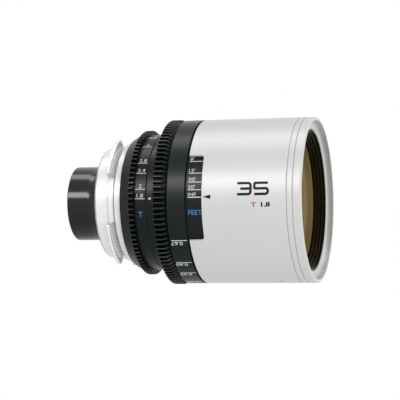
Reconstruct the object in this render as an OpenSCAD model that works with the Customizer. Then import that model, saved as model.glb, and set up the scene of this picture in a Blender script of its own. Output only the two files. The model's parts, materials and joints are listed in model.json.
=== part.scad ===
// Cinema prime lens: fixed barrels, a geared focus ring that drives a cam
// sleeve and the focus group, and a geared iris ring that swings the blades.
// The optical axis is X, the front is +X, up is +Z, and the origin is the
// centre of the mount seat. All sizes are millimetres and degrees.

/* [Fits] */
// Radial clearance of turning and sliding fits
run_c = 0.05; // [0.02:0.01:0.08]
// Radial clearance of fixed seats
seat_c = 0.02; // [0.01:0.01:0.05]
// Axial clearance beside turning rings
side_c = 0.25; // [0.15:0.05:0.5]

/* [Mount] */
// Radius of the pilot that enters the camera
pilot_r = 27; // [26:0.1:28]
// Length of the pilot behind the seat
pilot_len = 7.2; // [5:0.1:9]
// Chamfer of the pilot and wing edges
mount_chamfer = 0.5; // [0.2:0.1:0.8]
// How far the wings reach past the pilot
wing_reach = 6.2; // [4.5:0.1:7.5]
// Thickness of a wing at its rim
wing_t = 2; // [1.5:0.1:2.6]
// Thickness of a wing at its root
wing_root_t = 2.9; // [2.7:0.1:3.5]
// Angle that one wing spans
wing_span = 46; // [30:1:60]
// Number of wings
wing_count = 4; // [3:1:4]
// Step from the pilot to the flange between the wings
flange_step = 1.2; // [0.8:0.1:1.8]
// Depth of the groove between the wings and the collar
neck_cut = 0.6; // [0.2:0.1:1]
// Width of the groove between the wings and the collar
neck_w = 0.7; // [0.4:0.1:1.5]
// Step from the pilot to the collar in front of the wings
collar_step = 2.4; // [2:0.1:3]
// Length of the flange in front of the seat
mount_len = 7; // [6:0.1:9]
// Thickness of the shim that sets the flange distance
shim_t = 0.3; // [0.1:0.1:0.6]
// Number of mount screws
mount_screw_count = 6; // [4:1:8]
// Distance of the mount screws from the pilot's surface
mount_screw_inset = 4; // [3.5:0.1:4.5]
// Shank radius of the mount screws
mount_screw_r = 1.25; // [1:0.05:1.5]
// Head radius of the mount screws
mount_head_r = 2.1; // [1.8:0.1:2.4]
// Head height of the mount screws
mount_head_h = 1.6; // [1:0.1:2]
// How far the mount screws bite into the main barrel
mount_bite = 2.4; // [1.5:0.1:2.6]

/* [Rear barrel] */
// Wall of the pilot around the rear barrel
mount_wall = 8.15; // [7.9:0.05:9]
// Length of the rear barrel behind the seat
rear_len = 24.4; // [23:0.1:30]
// Edge chamfer of the rear barrel
rear_chamfer = 0.7; // [0.3:0.1:1]
// Relief depth of the neck behind the pilot
neck_depth = 0.5; // [0.2:0.1:0.8]
// Length of the neck behind the pilot
neck_len = 6; // [3:0.5:8]
// Radial gap between the rear barrel and the mount
rear_gap = 0.5; // [0.3:0.1:1]
// Wall of the rear barrel
rear_wall = 2.33; // [1.8:0.01:3.3]
// Width of the rear barrel's inner flange
rear_flange_w = 4.15; // [3.5:0.05:5]
// Thickness of the rear barrel's inner flange
rear_flange_t = 1.2; // [0.8:0.1:2]
// Lip thickness that the first rear element seats on
rear_lip_t = 3.5; // [2:0.1:4]
// Number of rear barrel screws
rear_screw_count = 3; // [3:1:4]
// Distance of the rear barrel screws outside the rear barrel
rear_screw_out = 2.05; // [1.85:0.05:2.45]
// Shank radius of the rear barrel screws
rear_screw_r = 0.8; // [0.6:0.05:0.9]
// Head radius of the rear barrel screws
rear_head_r = 1.4; // [1.2:0.1:1.6]
// Head height of the rear barrel screws
rear_head_h = 0.7; // [0.4:0.1:0.9]
// Length of the rear barrel screws under the head
rear_screw_len = 3.4; // [2.5:0.1:3.8]
// Edge thickness of the first rear element
rear_a_t = 5; // [4:0.5:6]
// Bulge of the first rear element's rear and front faces
rear_a_faces = [3.1, 2.7]; // [-4:0.1:4]
// Length of the first rear spacer
rear_gap_a = 6; // [5:0.5:7]
// Edge thickness of the second rear element
rear_b_t = 5; // [5:0.5:6]
// Bulge of the second rear element's rear and front faces
rear_b_faces = [1.8, -3.4]; // [-4:0.1:4]
// Length of the second rear spacer
rear_gap_b = 9; // [6:0.5:10]
// Edge thickness of the third rear element
rear_c_t = 4; // [3:0.5:5]
// Bulge of the third rear element's rear and front faces
rear_c_faces = [1.8, 2.4]; // [-4:0.1:4]
// Length of the rear retaining ring
rear_ring_t = 2.4; // [1.5:0.1:2.6]

/* [Iris ring] */
// Step from the pilot to the main barrel under the iris ring
iris_seat_step = 1.5; // [1.3:0.05:1.7]
// Wall of the iris ring at its rear edge
iris_edge_wall = 3.05; // [2:0.05:4.4]
// Length of the taper behind the iris gear
iris_taper_len = 5.4; // [3.6:0.1:6.5]
// How far the iris gear's teeth stand over the scale band
iris_gear_rise = 2.3; // [1.9:0.1:2.8]
// Width of the iris gear
iris_gear_w = 2.7; // [2:0.1:4.5]
// Wall of the iris ring under its scale band
iris_band_wall = 4.75; // [3.5:0.05:5.2]
// Width of the iris scale band
iris_band_w = 5.5; // [3.7:0.1:7]
// Module of both gears
gear_module = 0.8; // [0.7:0.05:0.85]

/* [Index ring] */
// Wall of the fixed index ring
index_wall = 4.98; // [4.5:0.01:5.5]
// Width of the fixed index ring
index_w = 4.6; // [4:0.1:6]
// Number of index ring grub screws
index_screw_count = 2; // [2:1:4]
// Radius of the index ring grub screws
index_screw_r = 1; // [0.8:0.1:1.2]

/* [Iris unit] */
// Number of iris blades
blade_count = 8; // [6:1:8]
// Distance from the pivot circle to the full aperture
aperture_inset = 8; // [7.7:0.1:9]
// Radius of the smallest aperture
aperture_min_r = 1; // [0.8:0.1:2]
// Radial width of a blade
blade_w = 6.5; // [6:0.1:6.8]
// Angle that a blade spans
blade_span = 150; // [130:5:160]
// Blade thickness
blade_t = 0.14; // [0.1:0.01:0.18]
// Distance between blade layers
blade_pitch = 0.24; // [0.22:0.01:0.3]
// Distance of the pivot circle from the barrel around the iris
pivot_inset = 7.5; // [7:0.1:7.7]
// Radius of the pivot pins
pivot_r = 0.5; // [0.4:0.05:0.6]
// Distance from a pivot pin to its cam pin
cam_arm = 7.5; // [7:0.1:7.6]
// Radius of the cam pins
cam_pin_r = 0.4; // [0.3:0.05:0.45]
// Direction of the cam arm at full aperture
cam_arm_angle = -100; // [-105:1:-95]
// Turn of the iris ring from full to smallest aperture
iris_turn = 100; // [80:1:110]
// Wall of the main barrel around the iris
iris_wall = 2.5; // [2.1:0.1:2.7]
// Thickness of the iris base plate
base_t = 1; // [0.8:0.1:1.5]
// Thickness of the cam plate
cam_plate_t = 1.2; // [1:0.1:1.5]
// Length of the cam plate with its rim
cam_rim_len = 3.4; // [3:0.1:4]
// Radial thickness of the cam plate's rim
cam_rim_t = 2; // [1.5:0.1:2.4]
// Radius of the iris drive pin
drive_pin_r = 1; // [0.7:0.05:1]
// Clock angle of the iris drive pin
drive_pin_clock = 90; // [60:5:120]
// Thickness of the iris retaining ring
iris_keep_t = 1.5; // [1:0.1:2]

/* [Focus ring] */
// How far the focus gear's teeth stand over the smooth band
focus_gear_rise = 0.4; // [0:0.1:0.8]
// Width of the focus gear
focus_gear_w = 4.3; // [4:0.1:7]
// Depth of the groove in front of the gear
focus_groove_depth = 1.6; // [1.4:0.1:2.5]
// Width of the groove in front of the gear
focus_groove_w = 2.8; // [2.2:0.1:4]
// How much lower the smooth band lies than the front barrel
focus_band_step = 0; // [-0.4:0.1:0.5]
// Width of the smooth band
focus_band_w = 8.6; // [6:0.1:12]
// Thickness of the thrust washer
washer_t = 0.4; // [0.3:0.1:0.8]
// Radial width of the thrust washer
washer_w = 1; // [0.8:0.1:1.2]
// Turn of the focus ring from infinity to its near stop
focus_turn = 150; // [120:1:155]
// Gap between the scale drum and the skirt around it
drum_gap = 0.4; // [0.3:0.05:0.8]
// Length of the scale drum
drum_len = 9; // [8:0.1:12]

/* [Focus cam] */
// Wall of the cam sleeve
sleeve_wall = 2.7; // [2.5:0.05:2.9]
// Wall of the scale drum
drum_wall = 3.48; // [3:0.01:3.9]
// Travel of the focus group
focus_travel = 6; // [5:0.1:6.5]
// Number of cam followers
follower_count = 3; // [2:1:3]
// Radius of the follower pins
follower_r = 0.8; // [0.6:0.05:0.9]
// Depth of the follower pins in the focus cell
follower_bite = 4.45; // [3:0.05:4.8]
// Radius of the follower rollers
roller_r = 1.4; // [1.2:0.05:1.45]
// Distance of the followers in front of the focus ring's rear
follower_inset = 12.7; // [12:0.1:14]
// Number of focus drive screws
focus_screw_count = 3; // [2:1:4]
// Radius of the focus drive screws
focus_screw_r = 0.9; // [0.7:0.1:1]
// Radius of the focus stop screw
stop_r = 0.8; // [0.6:0.1:1]
// Distance of the stop screw in front of the focus ring's rear
stop_inset = 2.2; // [2:0.1:3]
// Clock angle of the stop screw
stop_clock = 150; // [140:5:160]

/* [Focus group] */
// Wall of the main barrel around the focus cell
main_wall = 2.75; // [2.4:0.05:3.1]
// Wall of the focus cell
focus_cell_wall = 5.45; // [4.5:0.05:6.4]
// Length of the focus cell
focus_cell_len = 16; // [15.5:0.1:17]
// Distance from the cell's rear to the followers
focus_cell_inset = 8; // [7.5:0.1:9]
// Thickness of the cell's rear lip
focus_lip_t = 1.5; // [1:0.1:2]
// Edge thickness of the first focus element
focus_a_t = 5; // [4.5:0.1:5.5]
// Bulge of the first focus element's rear and front faces
focus_a_faces = [4.3, -4.8]; // [-5:0.1:5]
// Length of the focus spacer
focus_gap = 3.5; // [3:0.1:4]
// Edge thickness of the second focus element
focus_b_t = 4; // [3.5:0.1:4.5]
// Bulge of the second focus element's rear and front faces
focus_b_faces = [3.7, 3.7]; // [-5:0.1:5]
// Thickness of the focus retaining ring
focus_keep_t = 1.5; // [1:0.1:1.5]

/* [Main barrel] */
// Thickness of the rear bulkhead
bulkhead_t = 3; // [2.8:0.1:4]
// Wall of the front barrel over the main barrel's flange
barrel_wall = 3; // [2.6:0.1:3.5]
// Thickness of the front flange
main_flange_t = 5; // [4:0.1:7]
// Thickness of the web between the iris and the focus group
web_t = 1.5; // [0.8:0.1:1.8]

/* [Front barrel] */
// Radius of the front barrel
barrel_r = 40; // [36:0.1:44]
// Length of the front barrel
barrel_len = 54.8; // [54:0.1:60]
// Gap between the focus ring and the front barrel
barrel_gap = 1; // [0.5:0.1:1.5]
// Wall of the skirt over the scale drum
skirt_wall = 1.1; // [0.8:0.1:1.2]
// Length of the scale window
window_len = 7.3; // [5:0.1:7.5]
// Half of the angle that the window spans
window_half = 30; // [20:1:40]
// Corner radius of the window
window_corner = 1.5; // [0.5:0.1:2]
// Radius of the front edge
lip_round = 2; // [1:0.1:2.4]
// Wall around the filter thread
filter_wall = 1.9; // [1.8:0.05:2.5]
// Depth of the filter thread
filter_depth = 2.8; // [2:0.1:4]
// Depth of a fine groove
groove_depth = 0.25; // [0.1:0.05:0.5]
// Width of a fine groove
groove_w = 0.5; // [0.2:0.05:0.8]
// Distance of the first fine groove from the front
groove_a = 4.2; // [3.5:0.1:5]
// Distance of the second fine groove from the front
groove_b = 7; // [6:0.1:9]
// Number of front barrel grub screws
grub_count = 2; // [2:1:4]
// Radius of the front barrel grub screws
grub_r = 0.9; // [0.6:0.1:1.2]
// Distance of the grub screws from the front
grub_inset = 16; // [14:0.5:18]
// Clock angle of the first grub screw
grub_clock = -78; // [-90:1:-60]
// Depth of a grub screw below the surface
grub_sink = 0.3; // [0.1:0.1:0.6]

/* [Front group] */
// Distance from the front to the glass edge
glass_recess = 8.8; // [7.5:0.1:9]
// Wall of the front cell around the front element
cell_wall = 2.28; // [1.9:0.01:2.7]
// Edge thickness of the front element
front_a_t = 7; // [6.5:0.1:8]
// Bulge of the front element's rear and front faces
front_a_faces = [-7, 2.1]; // [-7:0.1:3]
// Wall of the front barrel around the front cell
front_wall = 5.7; // [5:0.1:5.9]
// Length of the front cell's wide part
front_wide_len = 12; // [12:0.1:14]
// Step from the main barrel's flange to the front cell's flange
cell_flange_step = 0.6; // [0.2:0.1:1]
// Thickness of the front cell's flange
cell_flange_t = 3; // [2:0.1:4]
// Step from the front cell's wide part to its narrow part
narrow_step = 3.8; // [3.3:0.1:4.3]
// Number of front cell screws
cell_screw_count = 6; // [3:1:8]
// Distance of the front cell screws outside the narrow part
cell_screw_out = 2.9; // [2.7:0.1:3.1]
// Shank radius of the front cell screws
cell_screw_r = 1; // [0.8:0.1:1.2]
// Head radius of the front cell screws
cell_head_r = 1.9; // [1.6:0.1:2.2]
// Head height of the front cell screws
cell_head_h = 1.2; // [0.8:0.1:1.6]
// Length of the front cell screws under the head
cell_screw_len = 6; // [5:0.5:6.5]
// Thickness of the lip between the front elements
front_lip_t = 2; // [1.5:0.1:3]
// Wall of the front cell around the inner elements
inner_wall = 3.48; // [3:0.01:4.5]
// Edge thickness of the second front element
front_b_t = 5; // [4.5:0.1:6]
// Bulge of the second front element's rear and front faces
front_b_faces = [-5.5, 4.2]; // [-6:0.1:5]
// Length of the front spacer
front_gap = 6; // [5:0.5:7]
// Edge thickness of the third front element
front_c_t = 4; // [3.5:0.1:5]
// Bulge of the third front element's rear and front faces
front_c_faces = [2.7, 4.2]; // [-5:0.1:5]
// Thickness of the inner retaining ring
inner_keep_t = 2.5; // [1.5:0.1:3]
// How far the stepped ring covers the glass
step_cover = 1; // [0.7:0.1:1.5]
// Rim of the stepped ring at its front
step_rim = 0.9; // [0.7:0.1:1.3]
// Number of steps in the stepped ring
step_count = 4; // [2:1:6]

/* [Hidden] */
$fn = 96;

// How far a cut runs past the face it opens
over = 1;
// Free play beside washers, rollers and pins
free_c = 0.1;
// Room past the ends of pins
end_c = 0.2;
// Room between screw heads or edges and the piece in front of them
head_c = 0.5;
// Room between the iris base plate and the first blade
blade_c = 0.15;
// Radial width of a spacer or lip that holds a glass edge
lip_w = 1.4;
// Flat land around a ground lens surface, a little wider than its lip
land = lip_w + free_c;
// Margin of the plates around the full aperture
aperture_rim = 0.7;
// Rim of the iris base plate
base_rim_t = 0.7;
// Bite of the index ring screws into the main barrel
index_bite = 0.6;
// Radius of a blade's ear around its pivot and its cam pin
ear_r = 1.2;
pin_ear_r = 0.84;
// How far a blade runs past its pivot, in degrees
blade_tail = 5;
// Segments of a ground surface
ground_fn = 360;
// Head slot of the screws
slot_w = 0.5;
slot_depth = 0.4;

silver = "#d9dadb";
black = "#1b1c1e";
glass = "#b9c7cf";
amber = "#8a7240";
steel = "#8f9296";
brass = "#b8923a";

// Radii of the mount and the iris, from the pilot
wing_r = pilot_r + wing_reach;
flange_r = pilot_r + flange_step;
collar_r = pilot_r + collar_step;
mount_screw_pcr = pilot_r - mount_screw_inset;
mount_bore_r = pilot_r - mount_wall;
rear_r = mount_bore_r - rear_gap;
rear_glass_r = rear_r - rear_wall - seat_c;
rear_lip_r = rear_glass_r - lip_w;
rear_flange_r = rear_r + rear_flange_w;
rear_screw_pcr = rear_r + rear_screw_out;
iris_seat_r = pilot_r + iris_seat_step;
iris_bore_r = iris_seat_r - iris_wall;
iris_edge_r = iris_seat_r + run_c + iris_edge_wall;
iris_band_r = iris_seat_r + run_c + iris_band_wall;
iris_pin_r = iris_band_r - lip_w;
index_r = iris_seat_r + seat_c + index_wall;
pivot_pcr = iris_bore_r - pivot_inset;
aperture_r = pivot_pcr - aperture_inset;
iris_hole_r = aperture_r + aperture_rim;

// Radii of the focus drive and the front group, from the front barrel
skirt_r = barrel_r - skirt_wall;
drum_r = skirt_r - drum_gap;
sleeve_r = drum_r - drum_wall - seat_c;
sleeve_bore_r = sleeve_r - sleeve_wall;
cam_seat_r = sleeve_bore_r - run_c;
focus_bore_r = cam_seat_r - main_wall;
focus_glass_r = focus_bore_r - run_c - focus_cell_wall;
focus_lip_r = focus_glass_r - lip_w;
follower_foot_r = focus_bore_r - run_c - follower_bite;
focus_band_r = barrel_r - focus_band_step;
focus_groove_r = focus_band_r - focus_groove_depth;
main_flange_r = barrel_r - barrel_wall;
filter_r = barrel_r - filter_wall;
front_cell_r = barrel_r - front_wall;
front_glass_r = front_cell_r - cell_wall - seat_c;
front_narrow_r = front_cell_r - narrow_step;
inner_glass_r = front_narrow_r - inner_wall - seat_c;
inner_lip_r = inner_glass_r - lip_w;
cell_flange_r = main_flange_r - cell_flange_step;
cell_screw_pcr = front_narrow_r + cell_screw_out;
step_in_r = front_glass_r - step_cover;
step_out_r = front_cell_r - step_rim;

// Axial places, from the mount to the front
barrel_x = mount_len + shim_t;
bulkhead_x = barrel_x + bulkhead_t;
rear_front_x = bulkhead_x + rear_flange_t;
base_x = rear_front_x + rear_head_h + head_c;
blade_x = base_x + base_t + blade_c;
cam_plate_x = blade_x + blade_count * blade_pitch + blade_c;
cam_front_x = cam_plate_x + cam_rim_len;
drive_pin_x = cam_front_x - drive_pin_r - free_c;
iris_keep_x = cam_front_x + side_c;
iris_x = mount_len + side_c;
iris_gear_x = iris_x + iris_taper_len;
iris_band_x = iris_gear_x + iris_gear_w;
iris_end_x = iris_band_x + iris_band_w;
index_x = iris_end_x + side_c;
index_end_x = index_x + index_w;
web_x = index_end_x + web_t;
focus_x = index_end_x + washer_t + free_c;
focus_groove_x = focus_x + focus_gear_w;
focus_band_x = focus_groove_x + focus_groove_w;
focus_end_x = focus_band_x + focus_band_w;
drum_end_x = focus_end_x + drum_len;
main_flange_x = drum_end_x + side_c;
cell_x = main_flange_x + main_flange_t;
window_x = focus_end_x + barrel_gap;
front_x = window_x + barrel_len;
step_x = front_x - filter_depth;
glass_x = front_x - glass_recess;
follower_x = focus_x + follower_inset;
stop_x = focus_x + stop_inset;
focus_screw_x = focus_groove_x + focus_groove_w / 2;
grub_x = front_x - grub_inset;

// Lens stacks: each piece starts where the one before it ends
rear_a_x = rear_front_x - rear_lip_t - rear_a_t;
rear_sp_a_x = rear_a_x - rear_gap_a;
rear_b_x = rear_sp_a_x - rear_b_t;
rear_sp_b_x = rear_b_x - rear_gap_b;
rear_c_x = rear_sp_b_x - rear_c_t;
rear_ring_x = rear_c_x - rear_ring_t;
focus_cell_x = follower_x - focus_cell_inset;
focus_a_x = focus_cell_x + focus_lip_t;
focus_sp_x = focus_a_x + focus_a_t;
focus_b_x = focus_sp_x + focus_gap;
focus_keep_x = focus_b_x + focus_b_t;
front_a_x = glass_x - front_a_t;
front_lip_x = front_a_x - front_lip_t;
front_b_x = front_lip_x - front_b_t;
front_sp_x = front_b_x - front_gap;
front_c_x = front_sp_x - front_c_t;
inner_keep_x = front_c_x - inner_keep_t;
front_wide_x = glass_x - front_wide_len;
cell_end_x = glass_x + end_c;

// Gear circles
function teeth_at(tip) = round(2 * tip / gear_module) - 2;
function tip_r(teeth) = gear_module * (teeth / 2 + 1);
function root_r(teeth) = tip_r(teeth) - tooth_depth * gear_module;
tooth_depth = 2.25;
// Half widths of a tooth at its root and tip, as shares of the pitch
tooth_root = 0.32;
tooth_tip = 0.13;
iris_teeth = teeth_at(iris_band_r + iris_gear_rise);
focus_teeth = teeth_at(focus_band_r + focus_gear_rise);
iris_tip_r = tip_r(iris_teeth);

// Iris motion: swing of a blade for the full turn of the ring
blade_swing = 2 * asin((aperture_r - aperture_min_r) / (2 * pivot_pcr));
blade_outer_r = aperture_r + blade_w;
cam_steps = 30;

// Place of a cam pin, seen from the barrel, after the share t of its travel
function cam_pin_at(t) =
  let (a = cam_arm_angle + blade_swing * t)
  [pivot_pcr + cam_arm * cos(a), cam_arm * sin(a)];
// The same place, seen from the turning cam plate
function cam_slot_at(t) =
  let (p = cam_pin_at(t), a = -iris_turn * t)
  [p[0] * cos(a) - p[1] * sin(a), p[0] * sin(a) + p[1] * cos(a)];
function side_of(t, d) =
  let (e = 0.001, v = cam_slot_at(t + e) - cam_slot_at(t - e), l = norm(v))
  cam_slot_at(t) + d * [-v[1], v[0]] / l;

// Radius of a ground surface that bulges by b inside the clear radius c
function ground_r(b, c) = (c * c + b * b) / (2 * b);

// Turns a shape built along Z so that it lies along the optical axis
module along_x() rotate([0, 90, 0]) children();

// Puts a shape that points along local X at a clock angle above the -Y side
module at_clock(a) rotate([0, 0, 270 - a]) children();

// Plain ring from x0 to x1
module ring(x0, x1, r_out, r_in) {
  difference() {
    translate([0, 0, x0]) cylinder(r = r_out, h = x1 - x0);
    translate([0, 0, x0 - over]) cylinder(r = r_in, h = x1 - x0 + 2 * over);
  }
}

// Bore from x0 to x1
module bore(x0, x1, r) translate([0, 0, x0]) cylinder(r = r, h = x1 - x0);

// Radial rod from radius a to radius b at x
module radial(x, a, b, r) translate([a, 0, x]) rotate([0, 90, 0]) cylinder(r = r, h = b - a);

// Screw along the axis with its slotted head at the low end
module cap_screw(shank_r, len, head_r, head_h) {
  difference() {
    union() {
      cylinder(r = head_r, h = head_h);
      translate([0, 0, head_h]) cylinder(r = shank_r, h = len);
    }
    translate([-head_r - over, -slot_w / 2, -over])
      cube([2 * (head_r + over), slot_w, slot_depth + over]);
  }
}

// Grub screw lying along local X with its slotted end outside
module grub(x, a, b, r) {
  difference() {
    radial(x, a, b, r);
    translate([b - slot_depth, -slot_w / 2, x - r - over])
      cube([slot_depth + over, slot_w, 2 * (r + over)]);
  }
}

// Ground lens between lands x0 and x0 + t. Its rear and front faces bulge
// outwards, or are hollow where the bulge is negative, inside the land.
module lens(x0, t, r, faces) {
  c = r - land;
  rear = faces[0];
  front = faces[1];
  difference() {
    union() {
      translate([0, 0, x0]) cylinder(r = r, h = t);
      if (front > 0) cap(x0 + t, c, front);
      if (rear > 0) mirror_at(x0) cap(x0, c, rear);
    }
    if (front < 0) hollow(x0 + t, c, -front);
    if (rear < 0) mirror_at(x0) hollow(x0, c, -rear);
  }
}
module mirror_at(x) translate([0, 0, x]) mirror([0, 0, 1]) translate([0, 0, -x]) children();
module cap(x, c, bulge) {
  intersection() {
    translate([0, 0, x + bulge - ground_r(bulge, c)]) sphere(r = ground_r(bulge, c), $fn = ground_fn);
    translate([0, 0, x]) cylinder(r = c, h = bulge + over);
  }
}
module hollow(x, c, depth) translate([0, 0, x - depth + ground_r(depth, c)])
  sphere(r = ground_r(depth, c), $fn = ground_fn);

// Toothed wheel between x0 and x1 with chamfered tooth ends
module gear(x0, x1, teeth, r_in) {
  tip = tip_r(teeth);
  root = root_r(teeth);
  pitch = 360 / teeth;
  end = gear_module / 2;
  intersection() {
    translate([0, 0, x0]) linear_extrude(x1 - x0)
      polygon([for (k = [0 : teeth - 1],
        s = [[root, -tooth_root], [tip, -tooth_tip], [tip, tooth_tip], [root, tooth_root]])
        s[0] * [cos((k + s[1]) * pitch), sin((k + s[1]) * pitch)]]);
    rotate_extrude()
      polygon([[r_in, x0], [tip - end, x0], [tip, x0 + end], [tip, x1 - end], [tip - end, x1],
        [r_in, x1]]);
  }
}

// Slot that climbs along the axis while it winds back around the sleeve, with
// room for half a roller past both ends
module cam_slot(half, r0, r1) {
  n = 32;
  pad = asin(half / r0);
  climb = focus_travel / focus_turn;
  points = [for (i = [0 : n], q = [[r0, -half], [r1, -half], [r1, half], [r0, half]])
    let (a = pad - (focus_turn + 2 * pad) * i / n)
    [q[0] * cos(a), q[0] * sin(a), follower_x - a * climb + q[1]]];
  sides = [for (i = [0 : n - 1], k = [0 : 3])
    let (a = 4 * i + k, b = 4 * i + (k + 1) % 4)
    each [[b, a, a + 4], [b, a + 4, b + 4]]];
  ends = [[0, 1, 2, 3], [4 * n + 3, 4 * n + 2, 4 * n + 1, 4 * n]];
  polyhedron(points, concat(ends, sides), convexity = 4);
}

// Arc slot around the axis, from clock angle 0 back by the given turn, with
// room for half a pin past both ends
module arc_slot(x, r0, r1, half, turn) {
  pad = asin(half / r0);
  rotate([0, 0, -turn - pad]) rotate_extrude(angle = turn + 2 * pad)
    translate([r0, x - half]) square([r1 - r0, 2 * half]);
}

// Mount
module mount_flange() {
  gap = 360 / wing_count - wing_span;
  neck_x = wing_root_t + neck_w;
  color(silver) along_x() difference() {
    rotate_extrude() polygon([
      [mount_bore_r, -pilot_len], [pilot_r - mount_chamfer, -pilot_len],
      [pilot_r, -pilot_len + mount_chamfer], [pilot_r, 0], [wing_r - mount_chamfer, 0],
      [wing_r, mount_chamfer], [wing_r, wing_t], [flange_r - neck_cut, wing_root_t],
      [flange_r - neck_cut, neck_x], [collar_r, neck_x], [collar_r, mount_len],
      [mount_bore_r, mount_len]]);
    for (k = [0 : wing_count - 1]) at_clock(k * 360 / wing_count + gap / 2)
      rotate_extrude(angle = gap) translate([flange_r, -over])
        square([wing_r - flange_r + over, wing_root_t + neck_w / 2 + over]);
    mount_screw_holes(-pilot_len - over, mount_len + over, mount_head_r + seat_c,
      -pilot_len + mount_head_h);
  }
}
module mount_screw_holes(x0, x1, head_r, head_x) {
  for (k = [0 : mount_screw_count - 1]) rotate([0, 0, k * 360 / mount_screw_count])
    translate([mount_screw_pcr, 0, 0]) {
      bore(x0, x1, mount_screw_r + seat_c);
      if (head_x > x0) bore(x0, head_x, head_r);
    }
}
module mount_screws() {
  color(steel) along_x()
    for (k = [0 : mount_screw_count - 1]) rotate([0, 0, k * 360 / mount_screw_count])
      translate([mount_screw_pcr, 0, -pilot_len])
        cap_screw(mount_screw_r, pilot_len + barrel_x + mount_bite - mount_head_h, mount_head_r,
          mount_head_h);
}
module mount_shim() {
  color(brass) along_x() difference() {
    ring(mount_len, barrel_x, iris_seat_r, mount_bore_r);
    mount_screw_holes(mount_len - over, barrel_x + over, mount_screw_r, mount_len - over);
  }
}

// Rear group
module rear_barrel() {
  color(black) along_x() difference() {
    rotate_extrude() polygon([
      [rear_lip_r, rear_front_x], [rear_lip_r, rear_a_x + rear_a_t],
      [rear_glass_r + seat_c, rear_a_x + rear_a_t], [rear_glass_r + seat_c, -rear_len],
      [rear_r - rear_chamfer, -rear_len], [rear_r, -rear_len + rear_chamfer],
      [rear_r, -pilot_len - neck_len], [rear_r - neck_depth, -pilot_len - neck_len + neck_depth],
      [rear_r - neck_depth, -pilot_len], [rear_r, -pilot_len + neck_depth],
      [rear_r, bulkhead_x], [rear_flange_r, bulkhead_x], [rear_flange_r, rear_front_x]]);
    rear_screw_holes();
  }
}
module rear_screw_places() {
  for (k = [0 : rear_screw_count - 1])
    rotate([0, 0, (k * floor(mount_screw_count / rear_screw_count) + 0.5) * 360 / mount_screw_count])
      translate([rear_screw_pcr, 0, 0]) children();
}
module rear_screw_holes() {
  rear_screw_places() bore(rear_front_x - rear_screw_len, rear_front_x + over, rear_screw_r + seat_c);
}
module rear_barrel_screws() {
  color(steel) along_x() rear_screw_places()
    translate([0, 0, rear_front_x + rear_head_h]) mirror([0, 0, 1])
      cap_screw(rear_screw_r, rear_screw_len, rear_head_r, rear_head_h);
}
module rear_element_a() color(glass) along_x() lens(rear_a_x, rear_a_t, rear_glass_r, rear_a_faces);
module rear_element_b() color(glass) along_x() lens(rear_b_x, rear_b_t, rear_glass_r, rear_b_faces);
module rear_element_c() color(glass) along_x() lens(rear_c_x, rear_c_t, rear_glass_r, rear_c_faces);
module rear_spacer_a() color(black) along_x() ring(rear_sp_a_x, rear_a_x, rear_glass_r, rear_lip_r);
module rear_spacer_b() color(black) along_x() ring(rear_sp_b_x, rear_b_x, rear_glass_r, rear_lip_r);
module rear_retaining_ring() {
  color(black) along_x() difference() {
    ring(rear_ring_x, rear_c_x, rear_glass_r, rear_lip_r);
    translate([-rear_r, -slot_w, rear_ring_x - over]) cube([2 * rear_r, 2 * slot_w, over + 2 * slot_depth]);
  }
}

// Main barrel
module main_barrel() {
  color(steel) along_x() difference() {
    rotate_extrude() polygon([
      [rear_r + seat_c, barrel_x], [iris_seat_r, barrel_x], [iris_seat_r, index_end_x],
      [cam_seat_r, index_end_x], [cam_seat_r, main_flange_x], [main_flange_r, main_flange_x],
      [main_flange_r, cell_x], [focus_bore_r, cell_x], [focus_bore_r, web_x],
      [iris_bore_r, web_x], [iris_bore_r, base_x], [iris_bore_r - lip_w, base_x],
      [iris_bore_r - lip_w, bulkhead_x], [rear_r + seat_c, bulkhead_x]]);
    mount_screw_holes(barrel_x - over, barrel_x + mount_bite, mount_screw_r, barrel_x - over);
    rear_screw_places() bore(rear_front_x - rear_screw_len, bulkhead_x + over, rear_screw_r + seat_c);
    at_clock(drive_pin_clock) rotate([0, 0, iris_turn])
      arc_slot(drive_pin_x, iris_bore_r - over, iris_seat_r + over, drive_pin_r + run_c, iris_turn);
    for (k = [0 : follower_count - 1]) rotate([0, 0, k * 360 / follower_count]) straight_slot();
    index_screw_places() radial(index_x + index_w / 2, iris_seat_r - index_bite,
      iris_seat_r + over, index_screw_r + seat_c);
    at_clock(stop_clock) radial(stop_x, focus_bore_r - over, cam_seat_r + over, stop_r + seat_c);
    cell_screw_places() bore(cell_x - (cell_screw_len - cell_flange_t), cell_x + over,
      cell_screw_r + seat_c);
  }
}
module straight_slot() {
  half = roller_r + run_c;
  depth = cam_seat_r - focus_bore_r + 2 * over;
  translate([focus_bore_r - over, 0, follower_x]) rotate([0, 90, 0]) linear_extrude(depth) {
    translate([-focus_travel, -half]) square([focus_travel, 2 * half]);
    circle(r = half);
    translate([-focus_travel, 0]) circle(r = half);
  }
}

// Index ring
module index_screw_places() {
  for (k = [0 : index_screw_count - 1]) at_clock(90 - k * 360 / index_screw_count) children();
}
module index_ring() {
  color(black) along_x() difference() {
    ring(index_x, index_end_x, index_r, iris_seat_r + seat_c);
    index_screw_places() radial(index_x + index_w / 2, iris_seat_r - over, index_r + over,
      index_screw_r + seat_c);
  }
}
module index_ring_screws() {
  color(black) along_x() index_screw_places()
    grub(index_x + index_w / 2, iris_seat_r - index_bite, index_r - grub_sink, index_screw_r);
}

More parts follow.
